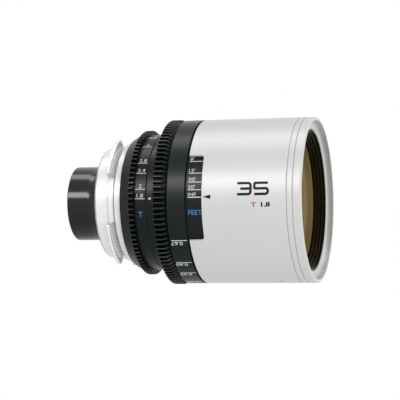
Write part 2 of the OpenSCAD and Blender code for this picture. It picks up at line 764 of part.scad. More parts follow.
// Iris ring and its drive
module iris_ring() {
  bore_r = iris_seat_r + run_c;
  color(black) along_x() difference() {
    union() {
      rotate_extrude() polygon([
        [bore_r, iris_x], [iris_edge_r, iris_x], [root_r(iris_teeth), iris_gear_x],
        [root_r(iris_teeth), iris_band_x], [iris_band_r, iris_band_x], [iris_band_r, iris_end_x],
        [bore_r, iris_end_x]]);
      gear(iris_gear_x, iris_band_x, iris_teeth, bore_r + over);
      rotate_extrude() polygon([
        [iris_edge_r - over, iris_x], [iris_edge_r, iris_x], [iris_tip_r - gear_module, iris_gear_x],
        [iris_edge_r - over, iris_gear_x]]);
    }
    at_clock(drive_pin_clock) radial(drive_pin_x, bore_r - over, iris_pin_r, drive_pin_r + seat_c);
  }
}
module iris_drive_pin() {
  color(steel) along_x() at_clock(drive_pin_clock)
    radial(drive_pin_x, iris_bore_r - cam_rim_t + end_c, iris_pin_r - seat_c, drive_pin_r);
}
module iris_cam_plate() {
  plate_r = iris_bore_r - run_c;
  color(steel) along_x() difference() {
    rotate_extrude() polygon([
      [iris_hole_r, cam_plate_x], [plate_r, cam_plate_x], [plate_r, cam_front_x],
      [plate_r - cam_rim_t, cam_front_x], [plate_r - cam_rim_t, cam_plate_x + cam_plate_t],
      [iris_hole_r, cam_plate_x + cam_plate_t]]);
    for (k = [0 : blade_count - 1]) rotate([0, 0, k * 360 / blade_count]) blade_slot();
    at_clock(drive_pin_clock) radial(drive_pin_x, iris_bore_r - cam_rim_t - over, iris_bore_r + over,
      drive_pin_r + seat_c);
  }
}
module blade_slot() {
  half = cam_pin_r + run_c;
  shares = [for (i = [0 : cam_steps]) i / cam_steps];
  translate([0, 0, cam_plate_x - over]) {
    linear_extrude(cam_plate_t + 2 * over) polygon(concat(
      [for (t = shares) side_of(t, half)],
      [for (i = [0 : cam_steps]) side_of(1 - i / cam_steps, -half)]));
    for (t = [0, 1]) translate(cam_slot_at(t)) cylinder(r = half, h = cam_plate_t + 2 * over);
  }
}
module iris_base_plate() {
  plate_r = iris_bore_r - seat_c;
  rim_x = cam_plate_x - run_c;
  color(steel) along_x() difference() {
    rotate_extrude() polygon([
      [iris_hole_r, base_x], [plate_r, base_x], [plate_r, rim_x], [plate_r - base_rim_t, rim_x],
      [plate_r - base_rim_t, base_x + base_t], [iris_hole_r, base_x + base_t]]);
    for (k = [0 : blade_count - 1]) rotate([0, 0, k * 360 / blade_count])
      translate([pivot_pcr, 0, 0]) bore(base_x - over, blade_x, pivot_r + run_c);
  }
}
module iris_blade(k) {
  x = blade_x + (k - 1) * blade_pitch;
  q = cam_pin_at(0);
  color(steel) along_x() rotate([0, 0, (k - 1) * 360 / blade_count]) {
    translate([0, 0, x]) linear_extrude(blade_t) blade_outline();
    translate([pivot_pcr, 0, 0]) bore(base_x, x + blade_t, pivot_r);
    translate(q) bore(x, cam_plate_x + cam_plate_t, cam_pin_r);
  }
}
module blade_outline() {
  far = 2 * blade_outer_r;
  q = cam_pin_at(0);
  difference() {
    intersection() {
      circle(r = blade_outer_r);
      polygon(concat([[0, 0]], [for (i = [0 : 6])
        let (a = -blade_tail + (blade_span + blade_tail) * i / 6) far * [cos(a), sin(a)]]));
    }
    circle(r = aperture_r);
  }
  translate([blade_outer_r - ear_r, -ear_r]) square([pivot_pcr - blade_outer_r + ear_r, 2 * ear_r]);
  translate([pivot_pcr, 0]) circle(r = ear_r);
  translate([pivot_pcr, 0]) rotate(cam_arm_angle)
    translate([0, -pin_ear_r]) square([cam_arm, 2 * pin_ear_r]);
  translate(q) circle(r = pin_ear_r);
}
module iris_retaining_ring() {
  color(black) along_x()
    ring(iris_keep_x, iris_keep_x + iris_keep_t, iris_bore_r - seat_c, iris_bore_r - 2 * cam_rim_t);
}

// Focus drive
module focus_thrust_washer() {
  color("white") along_x() ring(index_end_x, index_end_x + washer_t,
    cam_seat_r + seat_c + washer_w, cam_seat_r + seat_c);
}
module focus_screw_places() {
  for (k = [0 : focus_screw_count - 1]) at_clock(90 - k * 360 / focus_screw_count) children();
}
module focus_ring() {
  bore_r = sleeve_r + seat_c;
  color(black) along_x() difference() {
    union() {
      gear(focus_x, focus_groove_x, focus_teeth, bore_r);
      ring(focus_groove_x, focus_band_x, focus_groove_r, bore_r);
      ring(focus_band_x, focus_end_x, focus_band_r, bore_r);
    }
    bore(focus_x - over, focus_end_x + over, bore_r);
    focus_screw_places() radial(focus_screw_x, bore_r - over, focus_groove_r + over,
      focus_screw_r + seat_c);
  }
}
module focus_cam_sleeve() {
  r0 = sleeve_bore_r - over;
  r1 = sleeve_r + over;
  color(brass) along_x() difference() {
    ring(focus_x, drum_end_x, sleeve_r, sleeve_bore_r);
    for (k = [0 : follower_count - 1]) rotate([0, 0, k * 360 / follower_count])
      cam_slot(roller_r + run_c, r0, r1);
    at_clock(stop_clock) arc_slot(stop_x, r0, r1, stop_r + run_c, focus_turn);
    focus_screw_places() radial(focus_screw_x, r0, r1, focus_screw_r + seat_c);
  }
}
module focus_drive_screws() {
  color(black) along_x() focus_screw_places()
    grub(focus_screw_x, sleeve_bore_r + end_c, focus_groove_r - grub_sink, focus_screw_r);
}
module focus_scale_drum() {
  color(black) along_x() ring(focus_end_x, drum_end_x, drum_r, sleeve_r + seat_c);
}
module focus_stop_screw() {
  color(steel) along_x() at_clock(stop_clock)
    radial(stop_x, focus_bore_r + end_c, sleeve_r - 2 * end_c, stop_r);
}

// Focus group
module focus_cell() {
  cell_r = focus_bore_r - run_c;
  end_x = focus_cell_x + focus_cell_len;
  color(black) along_x() difference() {
    rotate_extrude() polygon([
      [focus_lip_r, focus_cell_x], [cell_r, focus_cell_x], [cell_r, end_x],
      [focus_glass_r + seat_c, end_x], [focus_glass_r + seat_c, focus_a_x],
      [focus_lip_r, focus_a_x]]);
    follower_places() radial(follower_x, follower_foot_r, focus_bore_r + over, follower_r + seat_c);
  }
}
module follower_places() {
  for (k = [0 : follower_count - 1]) rotate([0, 0, k * 360 / follower_count]) children();
}
module cam_follower_pins() {
  color(steel) along_x() follower_places()
    radial(follower_x, follower_foot_r + seat_c, sleeve_r - end_c, follower_r);
}
module cam_follower_rollers() {
  color(brass) along_x() follower_places() {
    roller(focus_bore_r + free_c, cam_seat_r - free_c);
    roller(sleeve_bore_r + free_c, sleeve_r - end_c);
  }
}
module roller(a, b) {
  difference() {
    radial(follower_x, a, b, roller_r);
    radial(follower_x, a - over, b + over, follower_r + seat_c);
  }
}
module focus_element_a() color(glass) along_x() lens(focus_a_x, focus_a_t, focus_glass_r, focus_a_faces);
module focus_element_b() color(glass) along_x() lens(focus_b_x, focus_b_t, focus_glass_r, focus_b_faces);
module focus_spacer() color(black) along_x() ring(focus_sp_x, focus_b_x, focus_glass_r, focus_lip_r);
module focus_retaining_ring() {
  color(black) along_x() ring(focus_keep_x, focus_keep_x + focus_keep_t, focus_glass_r, focus_lip_r);
}

// Front barrel
module front_barrel() {
  color(silver) along_x() difference() {
    rotate_extrude() difference() {
      polygon([
        [skirt_r, window_x], [barrel_r, window_x], [barrel_r, front_x],
        [filter_r, front_x], [filter_r, step_x], [front_cell_r + seat_c, step_x],
        [front_cell_r + seat_c, front_wide_x], [main_flange_r + seat_c, front_wide_x],
        [main_flange_r + seat_c, main_flange_x + free_c], [skirt_r, main_flange_x + free_c]]);
      lip_cut();
      for (g = [groove_a, groove_b]) translate([barrel_r - groove_depth, front_x - g - groove_w / 2])
        square([groove_depth + over, groove_w]);
    }
    window_cut();
    grub_places() radial(grub_x, front_cell_r - over, barrel_r + over, grub_r + seat_c);
  }
}
module lip_cut() {
  difference() {
    translate([barrel_r - lip_round, front_x - lip_round]) square(lip_round + over);
    translate([barrel_r - lip_round, front_x - lip_round]) circle(r = lip_round);
  }
}
module window_cut() {
  r0 = skirt_r - drum_gap / 2;
  end_x = window_x + window_len;
  corner = window_corner / barrel_r * 180 / PI;
  at_clock(window_half) rotate_extrude(angle = 2 * window_half)
    translate([r0, window_x - over]) square([barrel_r + over - r0, window_len - window_corner + over]);
  at_clock(window_half - corner) rotate_extrude(angle = 2 * (window_half - corner))
    translate([r0, window_x - over]) square([barrel_r + over - r0, window_len + over]);
  for (s = [-1, 1]) at_clock(s * (window_half - corner))
    radial(end_x - window_corner, r0, barrel_r + over, window_corner);
}
module grub_places() {
  for (k = [0 : grub_count - 1]) at_clock(grub_clock - k * 360 / grub_count) children();
}
module front_barrel_grub_screws() {
  color(steel) along_x() grub_places() grub(grub_x, front_cell_r + seat_c, barrel_r - grub_sink, grub_r);
}

// Front group
module cell_screw_places() {
  for (k = [0 : cell_screw_count - 1]) rotate([0, 0, (k + 0.5) * 360 / cell_screw_count])
    translate([cell_screw_pcr, 0, 0]) children();
}
module front_cell() {
  flange_x = cell_x + cell_flange_t;
  color(black) along_x() difference() {
    rotate_extrude() polygon([
      [inner_glass_r + seat_c, cell_x], [cell_flange_r, cell_x], [cell_flange_r, flange_x],
      [front_narrow_r, flange_x], [front_narrow_r, front_wide_x - (front_cell_r - front_narrow_r)],
      [front_cell_r, front_wide_x], [front_cell_r, cell_end_x], [front_glass_r + seat_c, cell_end_x],
      [front_glass_r + seat_c, front_a_x], [inner_lip_r, front_a_x], [inner_lip_r, front_lip_x],
      [inner_glass_r + seat_c, front_lip_x]]);
    cell_screw_places() bore(cell_x - over, flange_x + over, cell_screw_r + seat_c);
  }
}
module front_cell_screws() {
  color(steel) along_x() cell_screw_places()
    translate([0, 0, cell_x + cell_flange_t + cell_head_h]) mirror([0, 0, 1])
      cap_screw(cell_screw_r, cell_screw_len, cell_head_r, cell_head_h);
}
module front_element() color(amber) along_x() lens(front_a_x, front_a_t, front_glass_r, front_a_faces);
module front_element_b() color(glass) along_x() lens(front_b_x, front_b_t, inner_glass_r, front_b_faces);
module front_element_c() color(glass) along_x() lens(front_c_x, front_c_t, inner_glass_r, front_c_faces);
module front_spacer() color(black) along_x() ring(front_sp_x, front_b_x, inner_glass_r, inner_lip_r);
module front_inner_ring() color(black) along_x() ring(inner_keep_x, front_c_x, inner_glass_r, inner_lip_r);
module front_stepped_ring() {
  end_x = step_x - end_c;
  rise = (step_out_r - step_in_r) / step_count;
  run = (end_x - glass_x) / step_count;
  color(black) along_x() rotate_extrude() polygon(concat(
    [for (k = [0 : step_count - 1]) each [
      [step_in_r + k * rise, glass_x + k * run], [step_in_r + k * rise, glass_x + (k + 1) * run]]],
    [[step_out_r, end_x], [front_cell_r, end_x], [front_cell_r, cell_end_x],
     [front_glass_r, cell_end_x], [front_glass_r, glass_x]]));
}

mount_flange();
mount_screws();
mount_shim();
rear_barrel();
rear_barrel_screws();
rear_element_a();
rear_spacer_a();
rear_element_b();
rear_spacer_b();
rear_element_c();
rear_retaining_ring();
main_barrel();
iris_base_plate();
iris_retaining_ring();
index_ring();
index_ring_screws();
focus_thrust_washer();
focus_stop_screw();
front_barrel();
front_barrel_grub_screws();
front_cell();
front_cell_screws();
front_element();
front_element_b();
front_spacer();
front_element_c();
front_inner_ring();
front_stepped_ring();
focus_ring();
focus_cam_sleeve();
focus_scale_drum();
focus_drive_screws();
focus_cell();
focus_element_a();
focus_spacer();
focus_element_b();
focus_retaining_ring();
cam_follower_pins();
cam_follower_rollers();
iris_ring();
iris_drive_pin();
iris_cam_plate();
for (k = [1 : blade_count]) iris_blade(k);
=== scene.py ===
# %% [markdown]
# # A cinema prime lens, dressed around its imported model
# The CAD model gives every piece its place and its motion. This lesson gives the pieces
# their finish. Each step says what a piece is on the real lens, how it could be made in
# Blender and why one way was chosen. The optical axis is X, the front glass looks along +X
# and the index marks face -Y.

# %% Load the frame
import json
import math

import bmesh
import bpy
from mathutils import Matrix, Vector


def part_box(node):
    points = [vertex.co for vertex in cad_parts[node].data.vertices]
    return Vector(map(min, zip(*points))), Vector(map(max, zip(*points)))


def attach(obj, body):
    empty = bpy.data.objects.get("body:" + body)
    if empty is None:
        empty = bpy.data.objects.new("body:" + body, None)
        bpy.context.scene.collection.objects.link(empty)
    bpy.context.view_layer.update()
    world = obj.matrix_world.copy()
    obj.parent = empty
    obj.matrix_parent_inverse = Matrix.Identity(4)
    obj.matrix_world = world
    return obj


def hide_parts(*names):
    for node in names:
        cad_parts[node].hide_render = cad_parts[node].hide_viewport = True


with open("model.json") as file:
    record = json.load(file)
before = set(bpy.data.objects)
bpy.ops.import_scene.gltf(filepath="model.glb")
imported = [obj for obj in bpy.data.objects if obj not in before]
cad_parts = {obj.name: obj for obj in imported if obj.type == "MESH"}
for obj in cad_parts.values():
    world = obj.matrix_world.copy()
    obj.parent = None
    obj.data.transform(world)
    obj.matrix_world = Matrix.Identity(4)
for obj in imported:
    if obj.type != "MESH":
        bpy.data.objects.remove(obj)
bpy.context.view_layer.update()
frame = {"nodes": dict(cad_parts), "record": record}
MM = 0.001
scene = bpy.context.scene

# %% [markdown]
# ## Camera
# The photograph looks at the lens from a little below its axis and from 15 degrees towards
# the front. A camera can be aimed with a constraint, but a matrix made of the three view
# directions says the same in one place and leaves nothing to solve.

# %% Camera
AZIMUTH = math.radians(15.521)
ELEVATION = math.radians(-3.2)
ROLL = math.radians(-0.08)
DISTANCE = 794.301 * MM
DROP = -0.876 * MM
AIM = Vector((38.5 * MM, 0, 0))
SENSOR = 36
FOCAL = 145.319

back = Vector((math.sin(AZIMUTH) * math.cos(ELEVATION), -math.cos(AZIMUTH) * math.cos(ELEVATION),
               math.sin(ELEVATION)))
level_right = (-back).cross(Vector((0, 0, 1))).normalized()
level_up = level_right.cross(-back)
right = math.cos(ROLL) * level_right + math.sin(ROLL) * level_up
up = math.cos(ROLL) * level_up - math.sin(ROLL) * level_right
camera = bpy.data.objects.new("camera", bpy.data.cameras.new("camera"))
camera.data.sensor_width = SENSOR
camera.data.lens = FOCAL
camera.data.clip_start = 0.01
camera.data.clip_end = 50
camera.matrix_world = Matrix.Translation(AIM + back * DISTANCE - up * DROP) @ Matrix(
    (right, up, back)).transposed().to_4x4()
scene.collection.objects.link(camera)
scene.camera = camera
scene.view_settings.view_transform = "Standard"
print("camera at", [round(c, 4) for c in camera.matrix_world.translation])

# %% [markdown]
# ## Studio
# The lens is shown in white space. An even white world lights it from all around and leaves a
# soft shadow under it, and a weak lamp beside the front lifts the side that is seen. Two long
# strips, one overhead and one in front above the camera, are there only to be mirrored: they
# make the two bright bands along the barrels and add no other light. The front strip ends
# level with the front rim, so that the wall inside the rim doesn't mirror it. The floor turns
# white far away and is a plain pale surface near the lens, where it takes the shadow.

# %% World and soft boxes
WORLD_FILL = 1.06


def link(tree, a, b):
    tree.links.new(a, b)


def seen_by_eye(tree):
    """1 for camera, mirror and glass rays, 0 for the others."""
    path = tree.nodes.new("ShaderNodeLightPath")
    first = tree.nodes.new("ShaderNodeMath")
    first.operation = "MAXIMUM"
    second = tree.nodes.new("ShaderNodeMath")
    second.operation = "MAXIMUM"
    link(tree, path.outputs["Is Camera Ray"], first.inputs[0])
    link(tree, path.outputs["Is Glossy Ray"], first.inputs[1])
    link(tree, first.outputs[0], second.inputs[0])
    link(tree, path.outputs["Is Transmission Ray"], second.inputs[1])
    return second.outputs[0]


world = bpy.data.worlds.new("studio")
scene.world = world
world.use_nodes = True
tree = world.node_tree
tree.nodes.clear()
fill = tree.nodes.new("ShaderNodeBackground")
fill.inputs["Strength"].default_value = WORLD_FILL
white = tree.nodes.new("ShaderNodeBackground")
white.inputs["Color"].default_value = (1, 1, 1, 1)
mix = tree.nodes.new("ShaderNodeMixShader")
out = tree.nodes.new("ShaderNodeOutputWorld")
link(tree, seen_by_eye(tree), mix.inputs[0])
link(tree, fill.outputs[0], mix.inputs[1])
link(tree, white.outputs[0], mix.inputs[2])
link(tree, mix.outputs[0], out.inputs["Surface"])


def soft_box(name, place, aim_x, size, radiance):
    """A lamp with a level long side whose face looks at a point of the axis."""
    light = bpy.data.lights.new(name, "AREA")
    light.shape = "RECTANGLE"
    light.size, light.size_y = size
    light.energy = radiance * math.pi * size[0] * size[1]
    obj = bpy.data.objects.new(name, light)
    obj.location = place
    obj.rotation_euler = (Vector((aim_x, 0, 0)) - Vector(place)).to_track_quat("-Z", "Y").to_euler()
    scene.collection.objects.link(obj)
    return obj


lamp = soft_box("lamp", (0.8, -0.8, -0.15), aim_x=0.03, size=(1.0, 0.9), radiance=2.2)
lamp.visible_glossy = False
front_strip = soft_box("front_strip", (-0.42, -0.88, 0.40), aim_x=-0.42, size=(1.04, 0.27), radiance=11.3)
top_strip = soft_box("top_strip", (-0.27, 0.0, 1.0), aim_x=-0.27, size=(1.4, 0.36), radiance=4.4)
for strip in (front_strip, top_strip):
    strip.visible_diffuse = False

# %% Floor
FLOOR_Z = -0.25
FLOOR_HALF = 20
FLOOR_TONE = 0.92
PLAIN_WITHIN = 0.3
WHITE_BEYOND = 0.9

floor_mesh = bpy.data.meshes.new("floor")
floor_mesh.from_pydata([(-FLOOR_HALF, -FLOOR_HALF, FLOOR_Z), (FLOOR_HALF, -FLOOR_HALF, FLOOR_Z),
                        (FLOOR_HALF, FLOOR_HALF, FLOOR_Z), (-FLOOR_HALF, FLOOR_HALF, FLOOR_Z)],
                       [], [(0, 1, 2, 3)])
floor = bpy.data.objects.new("floor", floor_mesh)
scene.collection.objects.link(floor)
paper = bpy.data.materials.new("pale_floor")
paper.use_nodes = True
tree = paper.node_tree
tree.nodes.clear()
matt = tree.nodes.new("ShaderNodeBsdfDiffuse")
matt.inputs["Color"].default_value = (FLOOR_TONE, FLOOR_TONE, FLOOR_TONE, 1)
glow = tree.nodes.new("ShaderNodeEmission")
spot = tree.nodes.new("ShaderNodeTexCoord")
reach = tree.nodes.new("ShaderNodeVectorMath")
reach.operation = "LENGTH"
fade = tree.nodes.new("ShaderNodeMapRange")
fade.interpolation_type = "SMOOTHSTEP"
fade.inputs["From Min"].default_value = PLAIN_WITHIN
fade.inputs["From Max"].default_value = WHITE_BEYOND
both = tree.nodes.new("ShaderNodeMath")
both.operation = "MULTIPLY"
mix = tree.nodes.new("ShaderNodeMixShader")
out = tree.nodes.new("ShaderNodeOutputMaterial")
link(tree, spot.outputs["Object"], reach.inputs[0])
link(tree, reach.outputs["Value"], fade.inputs["Value"])
link(tree, fade.outputs["Result"], both.inputs[0])
link(tree, seen_by_eye(tree), both.inputs[1])
link(tree, both.outputs[0], mix.inputs[0])
link(tree, matt.outputs[0], mix.inputs[1])
link(tree, glow.outputs[0], mix.inputs[2])
link(tree, mix.outputs[0], out.inputs["Surface"])
floor_mesh.materials.append(paper)
print("floor at", FLOOR_Z)

# %% [markdown]
# ## Shared surface effects
# Nearly every piece of a lens barrel is turned on a lathe and then anodised or polished. The
# tool leaves rings that run round the axis, and blasting and anodising leave a fine grain.
# Hands polish the outer edges. An image could hold this, but noise that reads the distance along the axis and
# the radius follows every turned surface by itself. Two node groups hold it, so that each finish only chooses
# its own amounts. The group for the edges also paints light along marked edges: painted highlights, and on
# the mount painted dark shade lines.

# %% Node helpers


def new_group(name, inputs, outputs):
    """A shader group with inputs (title, kind, value) and outputs (title, kind)."""
    group = bpy.data.node_groups.new(name, "ShaderNodeTree")
    for title, kind, value in inputs:
        socket = group.interface.new_socket(title, in_out="INPUT", socket_type=kind)
        socket.default_value = value
    for title, kind in outputs:
        group.interface.new_socket(title, in_out="OUTPUT", socket_type=kind)
    return group, group.nodes.new("NodeGroupInput"), group.nodes.new("NodeGroupOutput")


def math_node(tree, operation, a, b=None, c=None):
    """A Math node whose inputs are sockets or plain numbers."""
    node = tree.nodes.new("ShaderNodeMath")
    node.operation = operation
    for k, value in enumerate((a, b, c)):
        if value is None:
            continue
        if isinstance(value, (int, float)):
            node.inputs[k].default_value = value
        else:
            link(tree, value, node.inputs[k])
    return node.outputs[0]


def plus(tree, a, b):
    return math_node(tree, "ADD", a, b)


def times(tree, a, b):
    return math_node(tree, "MULTIPLY", a, b)


def noise(tree, vector, scale, detail):
    node = tree.nodes.new("ShaderNodeTexNoise")
    node.inputs["Detail"].default_value = detail
    link(tree, vector, node.inputs["Vector"])
    link(tree, scale, node.inputs["Scale"])
    return node.outputs["Fac"]


def mixed(tree, share, first, second):
    """A colour between two others. The Mix node has its colour sockets at 6 and 7, and puts out at 2."""
    blend = tree.nodes.new("ShaderNodeMix")
    blend.data_type = "RGBA"
    link(tree, share, blend.inputs["Factor"])
    link(tree, first, blend.inputs[6])
    link(tree, second, blend.inputs[7])
    return blend.outputs[2]


print("helpers for shader groups")

# %% Turned finish group: its noises
turned, gin, gout = new_group(
    "turned finish",
    [("Ring scale", "NodeSocketFloat", 4000), ("Grain scale", "NodeSocketFloat", 6000),
     ("Smudge scale", "NodeSocketFloat", 60), ("Dark tone", "NodeSocketColor", (0.5, 0.5, 0.5, 1)),
     ("Light tone", "NodeSocketColor", (0.6, 0.6, 0.6, 1)), ("Least roughness", "NodeSocketFloat", 0.3),
     ("Most roughness", "NodeSocketFloat", 0.4)],
    [("Color", "NodeSocketColor"), ("Roughness", "NodeSocketFloat"), ("Height", "NodeSocketFloat")])
coord = turned.nodes.new("ShaderNodeTexCoord")
split = turned.nodes.new("ShaderNodeSeparateXYZ")
link(turned, coord.outputs["Object"], split.inputs[0])
along, level, upright = split.outputs
radius = math_node(turned, "SQRT", plus(turned, times(turned, level, level), times(turned, upright, upright)))
lathe_place = turned.nodes.new("ShaderNodeCombineXYZ")
link(turned, along, lathe_place.inputs[0])
link(turned, radius, lathe_place.inputs[1])
rings = noise(turned, lathe_place.outputs[0], gin.outputs["Ring scale"], 2)
grain = noise(turned, coord.outputs["Object"], gin.outputs["Grain scale"], 2)
smudge = noise(turned, coord.outputs["Object"], gin.outputs["Smudge scale"], 4)
print("group", turned.name, "reads", len(gin.outputs) - 1, "values")

# %% Turned finish group: tone, roughness and height
TONE_RINGS, TONE_GRAIN, TONE_SMUDGE = 0.35, 0.35, 0.3
ROUGH_SMUDGE, ROUGH_RINGS = 0.6, 0.4
NOISE_LOW, NOISE_HIGH = 0.3, 0.7
HEIGHT_GRAIN = 0.6

tone = plus(turned, times(turned, rings, TONE_RINGS),
            plus(turned, times(turned, grain, TONE_GRAIN), times(turned, smudge, TONE_SMUDGE)))
link(turned, mixed(turned, tone, gin.outputs["Dark tone"], gin.outputs["Light tone"]), gout.inputs["Color"])
rough = turned.nodes.new("ShaderNodeMapRange")
rough.inputs["From Min"].default_value = NOISE_LOW
rough.inputs["From Max"].default_value = NOISE_HIGH
link(turned, plus(turned, times(turned, smudge, ROUGH_SMUDGE), times(turned, rings, ROUGH_RINGS)),
     rough.inputs["Value"])
link(turned, gin.outputs["Least roughness"], rough.inputs["To Min"])
link(turned, gin.outputs["Most roughness"], rough.inputs["To Max"])
link(turned, rough.outputs["Result"], gout.inputs["Roughness"])
link(turned, plus(turned, rings, times(turned, grain, HEIGHT_GRAIN)), gout.inputs["Height"])
print("group", turned.name, len(turned.nodes), "nodes")

# %% Edge wear and painted light group
wear_and_light, gin, gout = new_group(
    "edge wear",
    [("Color", "NodeSocketColor", (0.1, 0.1, 0.1, 1)), ("Edge wear and painted light color", "NodeSocketColor", (0.4, 0.4, 0.4, 1)),
     ("Amount", "NodeSocketFloat", 0.5), ("Patch scale", "NodeSocketFloat", 300)],
    [("Color", "NodeSocketColor")])
# Marked edges take another tone in patches: wear and painted highlights on the barrels, painted highlights on
# the baffle's steps, painted dark shade lines on the mount and its wings.
edge = wear_and_light.nodes.new("ShaderNodeAttribute")
edge.attribute_name = "edge"
coord = wear_and_light.nodes.new("ShaderNodeTexCoord")
patches = noise(wear_and_light, coord.outputs["Object"], gin.outputs["Patch scale"], 3)
mask = times(wear_and_light, times(wear_and_light, edge.outputs["Fac"], patches), gin.outputs["Amount"])
link(wear_and_light, mixed(wear_and_light, mask, gin.outputs["Color"], gin.outputs["Edge wear and painted light color"]), gout.inputs["Color"])
print("group", wear_and_light.name, len(wear_and_light.nodes), "nodes")

# %% [markdown]
# ## Finishes
# A finish is one Principled shader fed by the two groups. What is the same all over, such as the metallic
# share or the bump depth, is set on the shader's own sockets. The gaps and flanks of the gears and the
# bottoms of grooves get a darker, duller finish of their own than the open bands beside them: painted shade,
# for the shade that falls in them.

# %% Finish helper
GRAIN_DEPTH = 0.05 * MM


def new_material(name):
    """A material, its node tree and its Principled shader."""
    mat = bpy.data.materials.new(name)
    mat.use_nodes = True
    return mat, mat.node_tree, mat.node_tree.nodes["Principled BSDF"]


def turned_skin(tree, shader, dark, light, rough, rings, grain):
    """Places the turned finish group in a material, and lets it set the roughness."""
    skin = tree.nodes.new("ShaderNodeGroup")
    skin.node_tree = turned
    values = {"Ring scale": rings, "Grain scale": grain, "Dark tone": (*dark, 1), "Light tone": (*light, 1),
              "Least roughness": rough[0], "Most roughness": rough[1]}
    for title, value in values.items():
        skin.inputs[title].default_value = value
    link(tree, skin.outputs["Roughness"], shader.inputs["Roughness"])
    return skin


def finish(name, dark, light, rough, metallic, bump=0.05, wear_and_light_tone=None, wear_and_light_amount=0.0, rings=4000,
           grain=6000, specular=0.5, tint=(1.0, 1.0, 1.0)):
    """A turned finish between two tones and two roughnesses, whose marked edges may take a tone of wear and
    painted light.
    """
    mat, tree, shader = new_material(name)
    skin = turned_skin(tree, shader, dark, light, rough, rings, grain)
    edges = tree.nodes.new("ShaderNodeGroup")
    edges.node_tree = wear_and_light
    edges.inputs["Edge wear and painted light color"].default_value = (*(wear_and_light_tone or light), 1)
    edges.inputs["Amount"].default_value = wear_and_light_amount
    link(tree, skin.outputs["Color"], edges.inputs["Color"])
    link(tree, edges.outputs["Color"], shader.inputs["Base Color"])
    relief = tree.nodes.new("ShaderNodeBump")
    relief.inputs["Strength"].default_value = bump
    relief.inputs["Distance"].default_value = GRAIN_DEPTH
    link(tree, skin.outputs["Height"], relief.inputs["Height"])
    link(tree, relief.outputs["Normal"], shader.inputs["Normal"])
    shader.inputs["Metallic"].default_value = metallic
    shader.inputs["Specular IOR Level"].default_value = specular
    shader.inputs["Specular Tint"].default_value = (*tint, 1)
    return mat


print("bump depth", GRAIN_DEPTH, "m")

# %% Silver and black finishes
# The lighter marked edges of the silver and black finishes are wear and also painted highlights.
silver = finish("silver_anodised", (0.585, 0.583, 0.575), (0.645, 0.643, 0.635), (0.34, 0.42), 0.05,
                bump=0.06, wear_and_light_tone=(0.75, 0.75, 0.75), wear_and_light_amount=0.3, specular=0.37)
# Painted shade: a darker, duller silver for the floors and walls of the two fine grooves.
silver_groove_painted_shade = finish("silver_groove_painted_shade", (0.44, 0.44, 0.43), (0.50, 0.50, 0.49), (0.4, 0.5), 0.05, bump=0.06,
                       specular=0.25)
rim_metal = finish("silver_rim", (0.56, 0.56, 0.555), (0.70, 0.70, 0.695), (0.36, 0.44), 1.0,
                   bump=0.06, rings=5000, wear_and_light_tone=(0.9, 0.9, 0.9), wear_and_light_amount=0.3)
black = finish("black_anodised", (0.0048, 0.0085, 0.0092), (0.0072, 0.0110, 0.0120), (0.27, 0.33), 0.0,
               bump=0.06, wear_and_light_tone=(0.05, 0.05, 0.05), wear_and_light_amount=0.6, specular=0.16)
# Painted shade: darker, duller blacks for gear roots, tooth flanks and groove floors, where shade falls.
shaded_root_black = finish("black_root_painted_shade", (0.0008, 0.0010, 0.0011), (0.0016, 0.0018, 0.002), (0.20, 0.26), 0.0,
                    bump=0.05, specular=0.035)
shaded_recess_black = finish("black_recess_painted_shade", (0.0010, 0.0010, 0.0011), (0.002, 0.002, 0.002), (0.45, 0.6), 0.0,
                      bump=0.1, specular=0.03)
gloss_black = finish("black_gloss", (0.001, 0.0015, 0.002), (0.002, 0.0025, 0.003), (0.13, 0.17), 0.0,
                     bump=0.01, wear_and_light_tone=(0.03, 0.03, 0.03), wear_and_light_amount=0.4, specular=0.36)
# The baffle's marked step edges take a lighter brown, as painted highlights along the steps, and its brown
# tone is in part a painted reflection of the amber glass.
matt_black = finish("black_baffle", (0.0045, 0.0033, 0.0017), (0.011, 0.0085, 0.0047), (0.18, 0.28), 0.0,
                    bump=0.1, rings=2500, wear_and_light_tone=(0.028, 0.022, 0.012), wear_and_light_amount=1.0, specular=0.10,
                    tint=(1.0, 0.8, 0.5))
print("finishes so far", len(bpy.data.materials))

# %% Steel, brass, aluminium and plastic finishes
# The mount's marked edges are painted dark: painted shade lines along its rounds.
mount_steel = finish("mount_steel", (0.82, 0.815, 0.805), (0.86, 0.855, 0.845), (0.31, 0.35), 0.06,
                     bump=0.04, wear_and_light_tone=(0.12, 0.12, 0.12), wear_and_light_amount=1.2)
# The wings have a lighter, glossier copy of the mount's steel: painted light that lifts their shaded faces.
# Their marked edges are painted dark as shade lines.
wing_steel_painted_light = finish("wing_steel_painted_light", (0.90, 0.895, 0.885), (0.94, 0.935, 0.925), (0.20, 0.25), 0.6,
                    bump=0.04, wear_and_light_tone=(0.3, 0.3, 0.3), wear_and_light_amount=1.0)
screw_steel = finish("screw_steel", (0.30, 0.30, 0.31), (0.42, 0.42, 0.43), (0.25, 0.35), 1.0)
# The brass is blackened, and its dark tone is also painted shade for the gaps where it shows.
brass = finish("blackened_brass_and_gap_shade", (0.045, 0.033, 0.018), (0.08, 0.058, 0.031), (0.35, 0.45), 1.0)
aluminium = finish("bare_aluminium", (0.55, 0.55, 0.57), (0.68, 0.68, 0.69), (0.28, 0.38), 1.0, bump=0.1)
blued = finish("blued_steel", (0.03, 0.03, 0.035), (0.06, 0.06, 0.07), (0.3, 0.4), 0.8)
acetal = finish("natural_acetal", (0.42, 0.41, 0.38), (0.52, 0.51, 0.48), (0.4, 0.5), 0.0)
print("finishes", len(bpy.data.materials))

